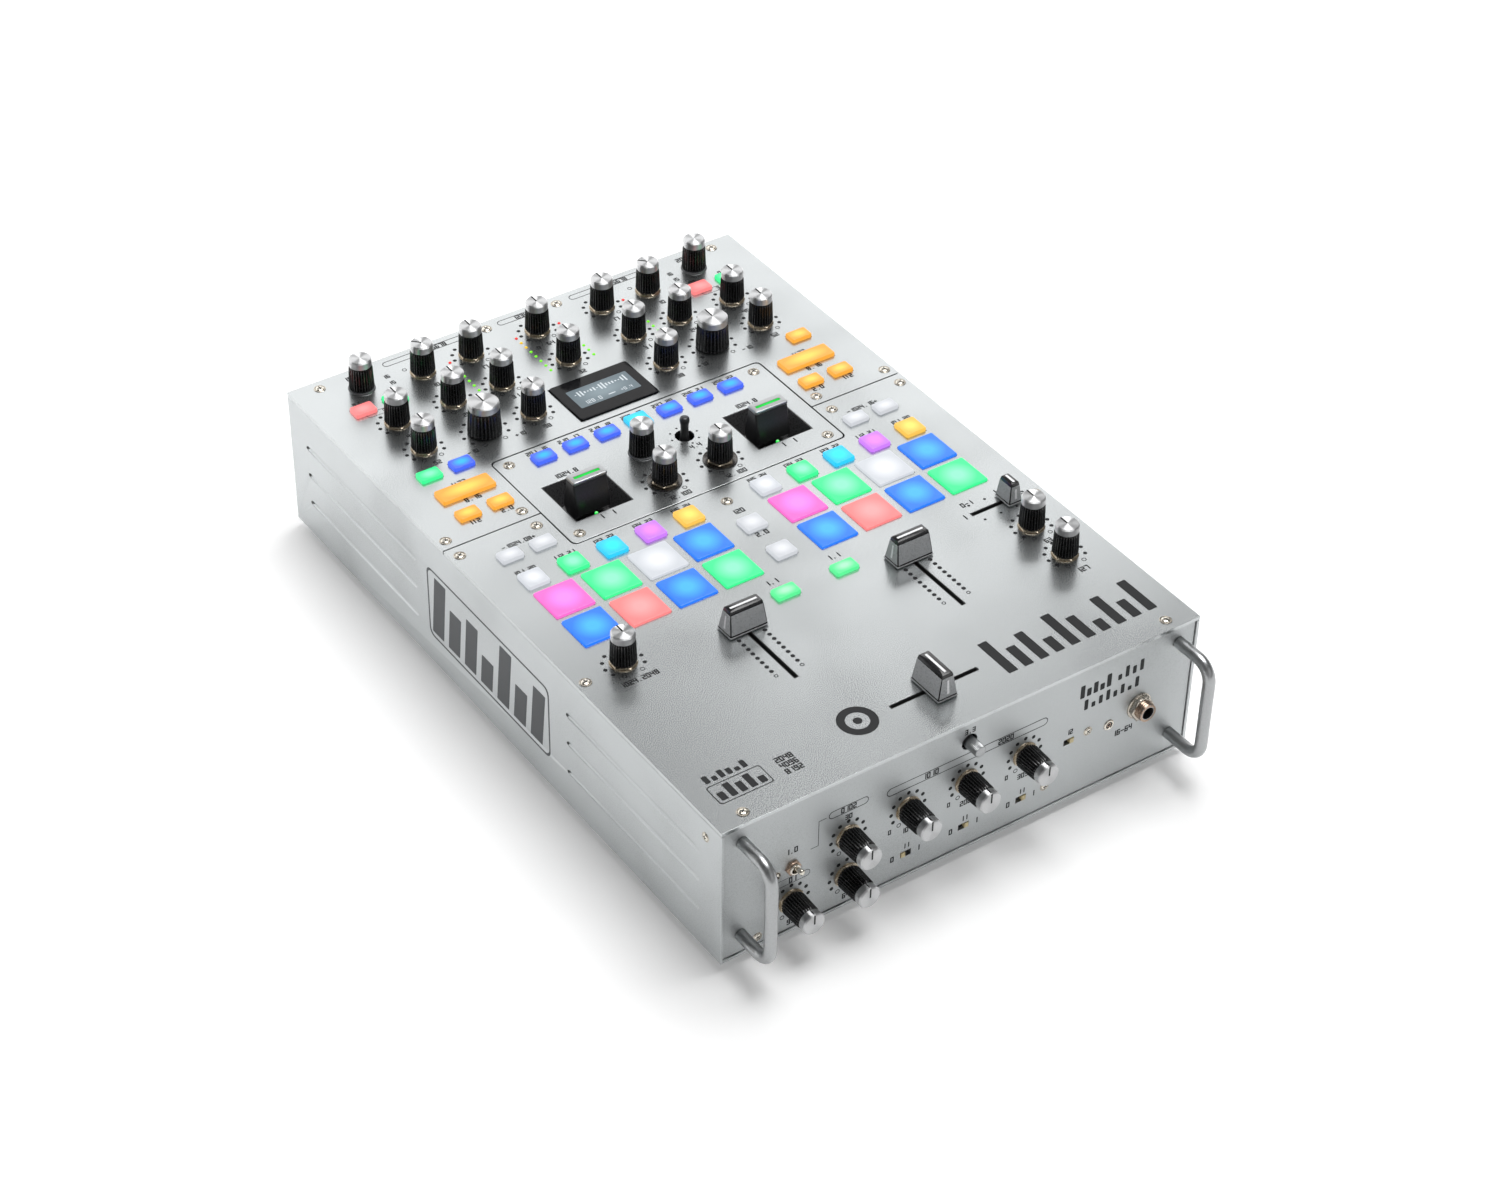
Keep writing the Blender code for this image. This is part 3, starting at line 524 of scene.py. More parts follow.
LAMPS = {
    "pink": ((254, 145, 254), (254, 110, 205)),
    "green": ((150, 254, 205), (60, 250, 150)),
    "white": ((240, 242, 246), (206, 210, 216)),
    "blue": ((71, 190, 254), (40, 125, 254)),
    "red": ((254, 170, 170), (254, 135, 135)),
    "cyan": ((20, 245, 253), (40, 205, 252)),
    "violet": ((245, 140, 255), (205, 125, 254)),
    "amber": ((254, 234, 110), (248, 195, 80)),
    "orange": ((254, 218, 90), (248, 170, 60)),
    "deep_blue": ((0, 190, 254), (70, 105, 252)),
    "mint": ((178, 253, 202), (90, 240, 150)),
    "off": ((232, 234, 238), (203, 206, 211)),
}
glow = {name: lit("lit_" + name, *colours) for name, colours in LAMPS.items()}
print(len(glow), "key colours")

# %% [markdown]
# ## The housing
# A folded tray, three plates and a front panel. The CAD solids have the right outlines and holes
# but razor edges; real sheet metal has small radii that catch the light, so copies are bevelled.

# %% Tray, plates and panel
cad_copy("chassis", "tray", tray_metal, 0.4, sharp=9)
for plate in ("front_top_plate", "rear_top_plate", "fx_plate"):
    cad_copy(plate, plate + "_skin", plate_metal, 0.22)
cad_copy("front_panel", "front_panel_skin", panel_metal_with_painted_shade, 0.3)
repaint("circuit_boards", board_green)
print("housing skins made")

# %% [markdown]
# ## Knobs
# A knob is a ribbed nylon sleeve with a spun metal cap pressed into it, and a black line on the cap.
# The sleeve is one profile turned about the shaft, with a wave on its radius for the ribs.

# %% Knob shapes
RIBS, RIB_DEPTH = 28, 0.8
SLEEVE_TOP, CAP_TOP, RIM = 14.0, 18.0, 0.6


def knob(radius_low, radius_high, under, pointer=True):
    """Sleeve, chamfered cap and pointer line. The sleeve's radius falls evenly from the low one at the
    plate to the high one at the cap's top; the sleeve starts at the height `under`."""

    def at(height):
        return radius_low + (radius_high - radius_low) * height / CAP_TOP

    seat, wall = radius_high - 0.45, radius_high - 0.05
    sleeve = [(0, under), (radius_low - 1.2, under), (at(under) - 0.1, under)]
    sleeve += [(at(under) + 0.05, under + 0.5), (at(8.0), 8.0), (at(12.4), 12.4)]
    sleeve += [(at(13.4) - 0.25, 13.4), (seat, SLEEVE_TOP)]
    cap = [(seat, SLEEVE_TOP), (radius_high - 0.15, SLEEVE_TOP + 0.1), (wall, SLEEVE_TOP + 0.5)]
    cap += [(wall, CAP_TOP - RIM), (wall - RIM, CAP_TOP), (0, CAP_TOP)]
    parts = [
        turned(sleeve, RIBS * 6, 0, RIBS, RIB_DEPTH, skip=(0, 1, 7)),
        turned(cap, 64, 1, polar=True),
    ]
    if pointer:
        length = radius_high - 0.6
        line = slab(0.85, length, 0.1, CAP_TOP - 0.3, CAP_TOP + 0.03, 2, steps=2)
        notch = slab(0.75, 0.25, 0.05, SLEEVE_TOP + 0.3, CAP_TOP - RIM - 0.1, 2, steps=2)
        parts.append(moved(line, shift=(0, length / 2 + 0.1, 0)))
        parts.append(moved(notch, shift=(0, radius_high - 0.12, 0)))
    return joined(parts)


small_knob = knob(6.4, 5.8, 1.8)
large_knob = knob(8.6, 7.7, 0.6)
encoder_knob = knob(6.4, 5.8, 0.9, pointer=False)
print("one knob has", len(small_knob[1]), "faces")

# %% [markdown]
# ### Under each knob
# A brass washer and a hex nut hold the potentiometer to the plate. They stay still while the knob
# turns, so they belong to the housing.

# %% Nut and washer shapes
HOLE = 3.35  # radius of the threaded bush that washer and nut go on
washer = turned([(HOLE, 0), (6.5, 0), (6.6, 0.1), (6.5, 0.3), (HOLE, 0.35), (HOLE, 0)], 32, 0)
dish_profile = [(HOLE, 0), (8.3, 0), (8.6, 0.3), (8.5, 0.8), (8.2, 0.8), (7.2, 0.15)]
dish = turned([*dish_profile, (HOLE, 0.2), (HOLE, 0)], 40, 1)
skirt_profile = [(HOLE, 0), (6.8, 0), (6.9, 0.15), (6.7, 0.6), (6.5, 0.7), (HOLE, 0.7), (HOLE, 0)]
skirt = turned(skirt_profile, 40, 2)
SIXTHS = np.radians(60 * np.arange(7))
HEXAGON = np.column_stack([np.cos(SIXTHS), np.sin(SIXTHS)])


def nut(across, bore, low, high, material=0):
    """Hexagon with a bore. Each side is cut in four, and the top edge is a circle inside the hexagon, so
    that the six corners dip as a turned chamfer makes them."""
    side, share = np.divmod(np.arange(25), 4)
    share = (share / 4)[:, None]
    outer = HEXAGON[side] * (1 - share) + HEXAGON[np.minimum(side + 1, 6)] * share
    outer = outer * across / math.sqrt(3)
    circle = outer / np.linalg.norm(outer, axis=1)[:, None]
    hole, rim = circle * bore, circle * across / 2 * 0.99
    heights = [low, low, high - 0.3, high, high, low]
    return stacked([hole, outer, outer, rim, hole, hole], heights, material)


small_nut = nut(11.6, HOLE, 0.25, 1.15)
print("nut with", len(small_nut[1]), "faces")

# %% Place the knobs
TOP_KNOBS = [n for n in NODES if "knob" in n and extent(n)[0][1] > 5]
PANEL_KNOBS = [n for n in NODES if "knob" in n and n not in TOP_KNOBS and n != "tension_knob"]
FINISHES = [knob_black, spun_metal, line_black]
LARGE = 15  # knobs wider than this are the large ones, and cover their nut
knob_place = {}
hardware = []


def fittings(node, wide):
    """The knob's shape, and what shows below it: a washer, a clear skirt, a dish and nut, or both."""
    if wide:
        return large_knob, []
    if node.startswith("browse") or node == "fx_time_knob":
        return encoder_knob, [skirt]
    return small_knob, [dish if node.startswith("fx_depth") else washer, small_nut]


for node in TOP_KNOBS + PANEL_KNOBS:
    low, high = extent(node)
    x, y, z = middle(node)
    if node in TOP_KNOBS:
        stand, place, spin = np.eye(3), (x, y, TOP), 17 * x
        knob_place[node] = (x, y)
    else:
        stand, place, spin = UPRIGHT, (x, FACE, z), 23 * x
        knob_place[node] = (x, z)
    shape, below = fittings(node, wide=high[0] - low[0] > LARGE)
    turn = 45 if node.startswith("source") else 0
    shape = moved(shape, stand @ about("Z", turn), place)
    dress(node, node + "_fluted", [shape], FINISHES, 30)
    hardware += [moved(part, stand @ about("Z", spin), place) for part in below]
piece("knob_nuts", hardware, [brass, dish_metal, skirt_grey])
print(len(TOP_KNOBS), "knobs on top,", len(PANEL_KNOBS), "on the front")

# %% [markdown]
# ## Lit keys
# The CAD key mats are single rubber sheets with bosses. Each boss gets its own clear cap, a rounded
# slab with a soft rim, that rides on the same mat and so goes down with it.


# %% Read the bosses from the mats
def bosses(node):
    """Each flat boss top is two triangles with one bounding box: unique boxes of the triangles that
    lie in a level top face give (x, y, width, depth, top) in millimetres."""
    mesh = NODES[node].data
    points = (np.array([v.co for v in mesh.vertices]) - CORNER) / MM
    corners = points[np.array([p.vertices[:] for p in mesh.polygons])]
    low, high = corners.min(1), corners.max(1)
    level = (high[:, 2] - low[:, 2] < 1e-3) & (low[:, 2] > TOP + 0.1)
    boxes = np.unique(np.round(np.column_stack([low[level], high[level]]), 2), axis=0)
    found = [((b[0] + b[3]) / 2, (b[1] + b[4]) / 2, b[3] - b[0], b[4] - b[1], b[5]) for b in boxes]
    return sorted(found, key=lambda key: (round(key[1]), key[0]))


KEY_COLOURS = {
    "pad_mat": "blue red blue green pink green white blue white green cyan violet amber",
    "side_key_mat_left": "off off orange orange orange green deep_blue red green",
    "side_key_mat_right": "off off orange orange orange orange red green",
    "fx_key_mat": "deep_blue deep_blue deep_blue cyan deep_blue deep_blue deep_blue",
    "centre_key_mat": "mint mint off off",
}
CAP_GROW = 0.6  # a cap is this much wider than its boss
for node in [n for n in NODES if "key_mat" in n or "pad_mat" in n]:
    keys = bosses(node)
    names = KEY_COLOURS["pad_mat" if node.startswith("pad") else node].split()
    used = sorted(set(names))
    caps = []
    for (x, y, width, depth, top), colour in zip(keys, names):
        pad = width > 12 and depth > 12
        corner, rise = (0.65, 0.12) if pad else (0.9, 0.3)
        size = (width + CAP_GROW, depth + CAP_GROW, corner)
        cap = slab(*size, TOP - 0.2, top + rise, used.index(colour), soft=0.45, crown=0.08)
        caps.append(moved(cap, shift=(x, y, 0)))
    piece(node + "_caps", caps, [glow[c] for c in used], node, sharp=60)
    repaint(node, silicone)
    print(node, len(keys), "keys in", len(used), "colours")

# %% [markdown]
# ## Fader caps
# A fader cap is a tapered two-shot moulding: a black frame with grey grips on its four sides and a
# white line across the top and down both ends, so that its place can be read from any angle.


# %% Blocks and face plates
def block(levels, material=0, steps=4):
    """Rounded rectangles (width, depth, corner, height) joined up, closed to a point at both ends."""
    rings = [rounded(w, d, c, steps) for w, d, c, _ in levels]
    heights = [level[3] for level in levels]
    point = rings[0] * 0
    return stacked([point, *rings, point], [heights[0], *heights, heights[-1]], material)


def brick(corners, inset, proud, sunk=0.3, material=0):
    """Thin plate on a flat four-cornered face: each corner moves toward the middle by the inset, and
    the plate runs from under the face to `proud` above it along the face's normal."""
    corners = np.array(corners, float)
    across, up = corners[1] - corners[0], corners[3] - corners[0]
    normal = np.cross(across, up)
    normal /= np.linalg.norm(normal)
    share_x, share_y = inset[0] / np.linalg.norm(across), inset[1] / np.linalg.norm(up)
    u = np.array([share_x, 1 - share_x, 1 - share_x, share_x])[:, None]
    v = np.array([share_y, share_y, 1 - share_y, 1 - share_y])[:, None]
    bottom = corners[0] * (1 - u) + corners[1] * u
    face = bottom * (1 - v) + (corners[3] * (1 - u) + corners[2] * u) * v
    centre = face.mean(0)[None].repeat(4, 0)
    rows = [centre - normal * sunk, face - normal * sunk, face + normal * proud, centre + normal * proud]
    rows = np.stack([np.concatenate([row, row[:1]]) for row in rows])
    return sheet(rows, material=material)


# %% Cap shape
LIFT = 1.4  # gap between the plate and the frame of a cap


def fader_cap(base, top, height, line):
    """Black frame, four grey grips between its edges, a dark shoulder, and three white lines. The long
    side of the cap runs along X. Its size falls evenly from the base to the top's with a 1 mm margin."""
    crown = height - 1.9

    def at(z):
        return [b + (t + 1.0 - b) * (z - LIFT) / (crown - LIFT) for b, t in zip(base, top)]

    levels = [(*at(1.0), 0.4, 1.0), (*at(2.0), 0.4, 2.0), (*at(crown), 0.45, crown)]
    for grow, corner, drop in ((0.6, 0.45, 0.8), (0.2, 0.4, 0.25), (-0.5, 0.35, 0)):
        levels.append((top[0] + grow, top[1] + grow, corner, height - drop))
    lip = [size + 0.7 for size in base]
    parts = [block(levels, 0), block([(*lip, 0.5, 0.7), (*lip, 0.5, 1.2)], 1)]
    low, high = at(2.0), at(crown)
    for turn in (0, 90, 180, 270):
        w, d = (0, 1) if turn % 180 == 0 else (1, 0)
        x0, y0, x1, y1 = low[w] / 2, low[d] / 2, high[w] / 2, high[d] / 2
        face = [(-x0, -y0, 2.0), (x0, -y0, 2.0), (x1, -y1, crown), (-x1, -y1, crown)]
        parts.append(moved(brick(face, (0.4 if w else 0.5, 0.1), 0.14, material=1), about("Z", turn)))
        if w:
            stripe = brick(face, (x0 - 0.7, 1.6), 0.24, material=2)
            parts.append(moved(stripe, about("Z", turn)))
    parts.append(slab(line, 1.25, 0.2, height - 0.4, height + 0.06, 2, steps=2))
    return joined(parts)


def stem(width, depth):
    """The fader's own lever, from inside the slot to the cap."""
    return block([(width, depth, 0.2, 71.5 - TOP), (width, depth, 0.2, 1.6)], 0, 2)


channel_cap = joined([fader_cap((20.3, 10.5), (17.3, 5.2), 14.0, 14.6), stem(1.2, 2.0)])
cross_cap = moved(fader_cap((20.3, 10.5), (17.6, 5.4), 14.3, 14.6), about("Z", 90))
cue_cap = moved(fader_cap((11.0, 7.4), (8.0, 4.0), 12.4, 6.4), about("Z", 90))
for node, shape in (
    ("channel_fader_left", channel_cap),
    ("channel_fader_right", channel_cap),
    ("crossfader", joined([cross_cap, stem(2.0, 1.2)])),
    ("cue_fader", joined([cue_cap, stem(2.0, 1.2)])),
):
    x, y, _ = middle(node)
    parts = [moved(shape, shift=(x, y, TOP))]
    dress(node, node + "_cap", parts, [cap_black, cap_grey, line_white], 32)
print("fader cap:", len(channel_cap[1]), "faces")

# %% [markdown]
# ### Slots and scales of the faders
# Each slot has black rubber lips just under the plate, and a row of printed dots on both sides.

# %% Slot lips
SLOT_WIDTH = 2.6
CHANNEL_X = (85.2, WIDE - 85.2)
SLOTS = [(x, (66.3, 114.9), "y") for x in CHANNEL_X]
SLOTS += [(26.9, (107.6, 156.4), "x"), (118.3, (222.6, 248.6), "x")]
lips = []
for across, (start, end), way in SLOTS:
    outline = rounded(SLOT_WIDTH - 0.06, end - start - 0.06, SLOT_WIDTH / 2)
    lip = frame_ring(outline, 0.42, 72.2, TOP - 0.12)
    half_way = (start + end) / 2
    if way == "y":
        lips.append(moved(lip, shift=(across, half_way, 0)))
    else:
        lips.append(moved(lip, about("Z", 90), (half_way, across, 0)))
piece("slot_lips", lips, [rubber])
print(len(SLOTS), "fader slots")

# %% [markdown]
# ## Effect paddles
# Each paddle is a sprung lever in a slant-walled well: a black flared grip with a satin metal top
# and a green light strip let into it. The well is one closed shell, its floor below the lever.

# %% Paddle and well shapes
green_strip = lit("green_strip", (30, 225, 85), (5, 195, 55), Specular_IOR_Level=0.15)
green_lamp = lit("green_lamp", (150, 255, 160), (20, 220, 70), 1.2)
PADDLE_AXIS = 70.0
# Rows of (width past the grip's, depth, corner, height), first from the axis and then from the top.
FLARE = [(-0.6, 6.0, 0.6, -3.4), (-0.1, 9.0, 0.8, -1.0), (0, 12.8, 1.0, 1.6), (0, 12.6, 1.0, 5.0)]
FLARE += [(0, 11.6, 1.0, 8.0), (0, 9.6, 1.0, 11.0), (0, 8.0, 1.0, 14.0)]
NECK = [(0, 7.3, 1.0, -3.2), (-0.3, 7.0, 0.9, -1.7)]
CROWN = [(-0.2, 7.2, 0.9, -1.8), (0, 7.5, 1.0, -1.5), (0, 7.5, 1.0, -0.5), (-0.3, 7.2, 0.9, -0.12)]
CROWN += [(-0.9, 6.6, 0.7, 0)]
STRIP = [(14.6, 2.0, 0.7, 0), (14.3, 1.8, 0.6, -0.25)]
WELL = [(25.0, 25.0, 1.6, 64.3), (31.8, 31.8, 1.0, TOP - 2.6), (31.8, 31.8, 1.0, TOP - 0.25)]
WELL += [(31.2, 31.2, 0.9, TOP - 0.25), (23.6, 23.6, 1.4, 64.9)]
LAMP = [(0, -3.5), (0.9, -3.5), (0.9, 0.1), (0.75, 0.5), (0.4, 0.75), (0, 0.8)]


def raised(rows, width, base):
    """The rows with the width added to their first number and the base height to their last."""
    return [(width + w, depth, corner, base + z) for w, depth, corner, z in rows]


for side in ("left", "right"):
    node = "fx_paddle_" + side
    low, high = extent(node)
    x, y, _ = middle(node)
    top, width = high[2], high[0] - low[0]
    grip = block(raised(FLARE, width, PADDLE_AXIS) + raised(NECK, width, top), 0, 6)
    crown = block(raised(CROWN, width, top) + raised(STRIP, 0, top), 1, 6)
    strip = slab(14.2, 1.7, 0.6, top - 0.6, top - 0.1, 2)
    shape = moved(joined([grip, crown, strip]), shift=(x, y, 0))
    dress(node, node + "_grip", [shape], [satin_black, satin_top, green_strip], 35)
    dome = moved(turned(LAMP, 16, 1), shift=(-3.7, -14.2, TOP - 1.1))
    shape = moved(joined([block(WELL, 0), dome]), shift=(x, y, 0))
    piece("paddle_well_" + side, [shape], [well_black, green_lamp], sharp=25)
print("grip", round(width, 1), "mm wide, top at", round(top, 1))

# %% [markdown]
# ## Select stick, lever and tension knob
# Three small turned parts. The stick and the lever are one profile each; the tension knob is a steel
# bush with straight knurling, which is the rib wave again with many shallow ribs.

# %% Small turned controls
stick_x, stick_y, _ = middle("select_stick")
tip = extent("select_stick")[1][2]
profile = [(0, 70.8), (3.9, 70.8), (4.0, 71.4), (4.0, 72.0), (3.4, 72.8), (2.9, 74.0), (2.5, 76.0)]
profile += [(2.1, 79.5), (1.95, 82.0), (2.1, tip - 4.2), (2.45, tip - 2.8), (2.5, tip - 1.5)]
profile += [(2.2, tip - 0.6), (1.4, tip - 0.1), (0, tip)]
parts = [moved(turned(profile, 32), shift=(stick_x, stick_y, 0))]
dress("select_stick", "stick_shaft", parts, [satin_black], 50)

LEVER_X, LEVER_Z, LEVER_TILT = 38.1, 38.1, 16.0
profile = [(0, -3.5), (1.2, -3.5), (1.2, 1.0), (0.95, 2.2), (1.15, 5.5), (1.45, 8.0)]
profile += [(1.4, 8.8), (1.0, 9.3), (0, 9.4)]
parts = [moved(turned(profile, 24), about("X", 90 - LEVER_TILT), (LEVER_X, 2.0, LEVER_Z))]
dress("mic_lever", "lever_bat", parts, [screw_metal], 50)

KNURLS = 30
x, _, z = middle("tension_knob")
profile = [(0, -9.0), (3.0, -9.0), (3.08, -8.4), (3.08, 0.4), (3.08, 7.8), (2.8, 8.3), (2.5, 8.5)]
knurled = turned([*profile, (0, 8.4)], KNURLS * 6, 0, KNURLS, 0.22, skip=(0, 1, 5, 6, 7))
parts = [moved(knurled, UPRIGHT, (x, FACE, z))]
dress("tension_knob", "tension_bush", parts, [satin_top], 40)
print("stick, lever and tension knob done")

# %% [markdown]
# ## Screws
# Pan-head screws sit in turned cup washers. The cross recess is real depth on a real screw; at this
# size two dark bars let into the head are painted shade in its place, and cost eight faces.

# %% Screw shape
cup = turned([(2.3, -0.1), (3.0, -0.1), (3.05, 0.12), (2.75, 0.34), (2.35, 0.3), (2.3, -0.1)], 24, 1)
profile = [(0, -0.1), (2.28, -0.1), (2.28, 0.1), (2.05, 0.42), (1.4, 0.66), (0.6, 0.74), (0, 0.75)]
CROSS, CROSS_TOP = 1.3, 0.79  # half length of a bar, and its height: just clear of the domed head
# The two bars across the head are painted shade of the cross recess.
bar_across = slab(CROSS * 2, CROSS * 0.38, 0.1, CROSS_TOP - 0.5, CROSS_TOP, 2, steps=2)
screw = joined([cup, turned(profile, 24, 0), bar_across, moved(bar_across, about("Z", 90))])
small_screw = moved(screw, np.eye(3) * 0.82)

# %% Place the screws
PAIRED = [(15, 378.5), (111, 378.5), (4.8, 238), (46.6, 238), (4.8, 224.7), (46.6, 224.7)]
SCREWS = PAIRED + [(WIDE - x, y) for x, y in PAIRED]
PAIRED = [(4.9, 115.3), (15.2, 6.5)]
SCREWS += PAIRED + [(WIDE - x, y) for x, y in PAIRED] + [(132, 191)]
SCREWS += [(60.3, 272.4), (203.3, 272.4), (60.3, 208.5), (203.3, 208.5)]
PANEL_SCREWS = [(29.3, 36.7), (202.6, 37.0), (179.3, 14.8), (20.0, 5.6)]
LEFT_WALL = np.array([[0, 0, -1.0], [0, 1, 0], [1, 0, 0]])
RIGHT_WALL = np.array([[0, 0, 1.0], [0, 1, 0], [-1, 0, 0]])
screws = [moved(screw, about("Z", 31 * k), (x, y, TOP)) for k, (x, y) in enumerate(SCREWS)]
for k, (x, z) in enumerate(PANEL_SCREWS):
    screws.append(moved(small_screw, UPRIGHT @ about("Z", 41 * k), (x, FACE, z)))
for wall, x in ((LEFT_WALL, 0), (RIGHT_WALL, WIDE)):
    screws.append(moved(small_screw, wall, (x, 12.15, 66.7)))
piece("plate_screws", screws, [screw_metal, cup_metal, black_parts_and_painted_hole_shade])
print(len(screws), "screws")

# %% [markdown]
# ## Level lamps
# Four columns of eight tiny lamps: red at the top, two yellow, five green.

# %% Lamps
lamp_dome = turned([(0, -0.2), (0.85, -0.2), (0.85, 0.1), (0.6, 0.4), (0, 0.5)], 12)
METER_COLUMNS = (80.4, 119.3, 144.7, 183.6)
lamp_glow = [
    lit("lamp_green", (150, 255, 60), (110, 235, 20)),
    lit("lamp_yellow", (255, 225, 60), (240, 190, 20)),
    lit("lamp_red", (255, 80, 60), (230, 30, 30)),
]
lamps = []
for step, colour in enumerate((2, 1, 1, 0, 0, 0, 0, 0)):
    rows = [(x, 362.7 - 4.75 * step, TOP) for x in METER_COLUMNS]
    lamps.append(painted(stamped(lamp_dome, rows), colour))
piece("meter_lamps", lamps, lamp_glow)
print(len(lamps), "lamp bars")

# %% [markdown]
# ## Display
# A black window with a small grey-blue screen behind it. What it shows is plain: a level curve of
# bars, a line of digits, and a progress bar.


# %% Digits from bars
SEGMENTS = {
    "0": "abcdef", "1": "bc", "2": "abged", "3": "abgcd", "4": "fgbc",
    "5": "afgcd", "6": "afgedc", "7": "abc", "8": "abcdefg", "9": "abcdfg",
    "-": "g", "+": "gv", "/": "s", ".": "p",
}  # fmt: skip
PLACES = {
    "a": (0, 1, 1, 0), "d": (0, 0, 1, 0), "g": (0, 0.5, 1, 0), "b": (0.5, 0.75, 0, 1),
    "c": (0.5, 0.25, 0, 1), "e": (-0.5, 0.25, 0, 1), "f": (-0.5, 0.75, 0, 1),
    "v": (0, 0.5, 0, 1), "s": (0, 0.5, 0, 1.6), "p": (0, 0, 0.01, 0),
}  # fmt: skip


def bar(x, y, width, depth, low, high, material=0, corner=0.0):
    """Flat printed bar about a point, as a closed slab."""
    corner = corner or min(width, depth) * 0.2
    return moved(slab(width, depth, corner, low, high, material, steps=2), shift=(x, y, 0))


def digits(text, x, y, size, low, high, material=0, weight=0.17):
    """Numbers drawn with seven bars: each bar's middle and length are shares of the digit's size."""
    wide, step, stroke = size * 0.5, size * 0.86, size * weight
    start = x - step * (len(text) - 1) / 2
    parts = []
    for k, letter in enumerate(text):
        for name in SEGMENTS.get(letter, ""):
            px, py, across, up = PLACES[name]
            box = (across * wide + stroke, up * size / 2 + stroke)
            parts.append(
                bar(start + k * step + px * wide, y + (py - 0.5) * size, *box, low, high, material)
            )
    return joined(parts)


screen_x, screen_y, _ = middle("display_module")
screen_z = extent("display_module")[1][2]
screen_dark = lit("screen_dark", (128, 144, 152), (98, 113, 121))
screen_light = lit("screen_light", (225, 232, 236), (205, 214, 220), 0.9)
bezel = slab(45.7, 31.4, 1.5, TOP - 1.0, screen_z + 0.55, 0, soft=0.4)
glass = moved(slab(35.0, 15.6, 0.4, screen_z, screen_z + 0.60, 1, steps=2), shift=(0, 0.2, 0))
shown = screen_z + 0.60, screen_z + 0.63
k = np.arange(17)
wave = 0.6 + np.abs(np.sin(k * 0.9) * np.cos(k * 0.37)) * 5.2
parts = [bar(-14.4 + 1.8 * k, 3.4, 0.9, height, *shown, 2) for k, height in enumerate(wave)]
parts += [digits("128.0", -9.0, -4.6, 2.4, *shown, 2), digits("+0.4", 10.6, -4.6, 2.0, *shown, 2)]
parts.append(bar(2.0, -4.6, 4.0, 0.7, *shown, 2))
window = moved(joined([bezel, glass, *parts]), shift=(screen_x, screen_y, 0))
finishes = [bezel_black, screen_dark, screen_light]
piece("display_window", [window], finishes, node="display_module")
print("display window placed")

# %% [markdown]
# ## Printed scales
# Every knob has a ring of eleven dots, every fader two rows, and the fields are outlined by thin
# rounded lines. All print on one plate is one piece: closed slabs a few hundredths of a millimetre
# thick, so that it stays crisp in any light and is exported as real shape.

# %% Ink shapes
INK_LOW, INK_HIGH = -0.02, 0.035
INK = (TOP + INK_LOW, TOP + INK_HIGH)


def dot(radius, sides=10, material=0):
    return turned([(0, INK_LOW), (radius, INK_LOW), (radius, INK_HIGH), (0, INK_HIGH)], sides, material)


def ring_mark(outer, inner, sides=16, material=0):
    rows = [(outer, INK_LOW), (outer, INK_HIGH), (inner, INK_HIGH), (inner, INK_LOW), (outer, INK_LOW)]
    return turned(rows, sides, material)


def pill(x, y, width, depth, line=0.38, corner=None, material=0):
    """Outline of a rounded field."""
    outline = rounded(width, depth, depth / 2 if corner is None else corner)
    return moved(frame_ring(outline, line, INK_LOW, INK_HIGH, material), shift=(x, y, 0))


def scale_dots(x, y, radius, count=11, sweep=300.0, size=1.05):
    """Dots from -sweep/2 to +sweep/2 about +Y; the first and last are hollow rings."""
    angles = np.radians(np.linspace(-sweep / 2, sweep / 2, count))
    places = np.stack([x + radius * np.sin(angles), y + radius * np.cos(angles), 0 * angles], 1)
    ends = stamped(ring_mark(size + 0.2, size - 0.2, 12), places[[0, -1]])
    return joined([stamped(dot(size), places[1:-1]), ends])


def number(text, x, y, size=2.1, weight=0.25):
    return digits(text, x, y, size * 1.25, INK_LOW, INK_HIGH, weight=weight)


# %% Print on the top plates
rear_print, front_print, fx_print = [], [], []
for node, (x, y) in knob_place.items():
    if node in PANEL_KNOBS or node.startswith("browse") or node == "fx_time_knob":
        continue
    on_fx = 202 < y < 279 and 53 < x < 210
    target = fx_print if on_fx else rear_print if y > 232 else front_print
    wide = node.startswith("filter")
    if node.startswith("source"):
        target.append(scale_dots(x, y, 9.6, 3, 90.0))
    else:
        target.append(scale_dots(x, y, 11.6 if wide else 10.7 if on_fx else 9.6))

for index, (x, y) in enumerate(
    [(65, 350.0), (93, 350.0), (65, 320.0), (93, 320.0), (93, 290.0), (33, 319.6), (33, 293.6)]
):
    for place in (x, WIDE - x):
        rear_print.append(number(str(10 + index * 7), place, y, 2.0))
for x in (132.0,):
    rear_print += [number("0", x - 7.4, 349.5, 1.8), number("10", x + 7.6, 349.5, 1.8)]
    rear_print += [number("64", x, 350.0, 2.0), number("32", x, 320.0, 2.0)]
for x, text in ((51.5, "-10"), (78.5, "+10")):
    for place in (x, WIDE - x):
        rear_print.append(number(text, place, 291.5, 1.9))
for x, width in ((79.0, 56.0), (131.5, 27.0), (187.5, 53.0)):
    rear_print.append(pill(x, 379.0, width, 4.2))
    rear_print.append(number("12345678"[: int(width / 6.5)], x, 379.0, 2.0))
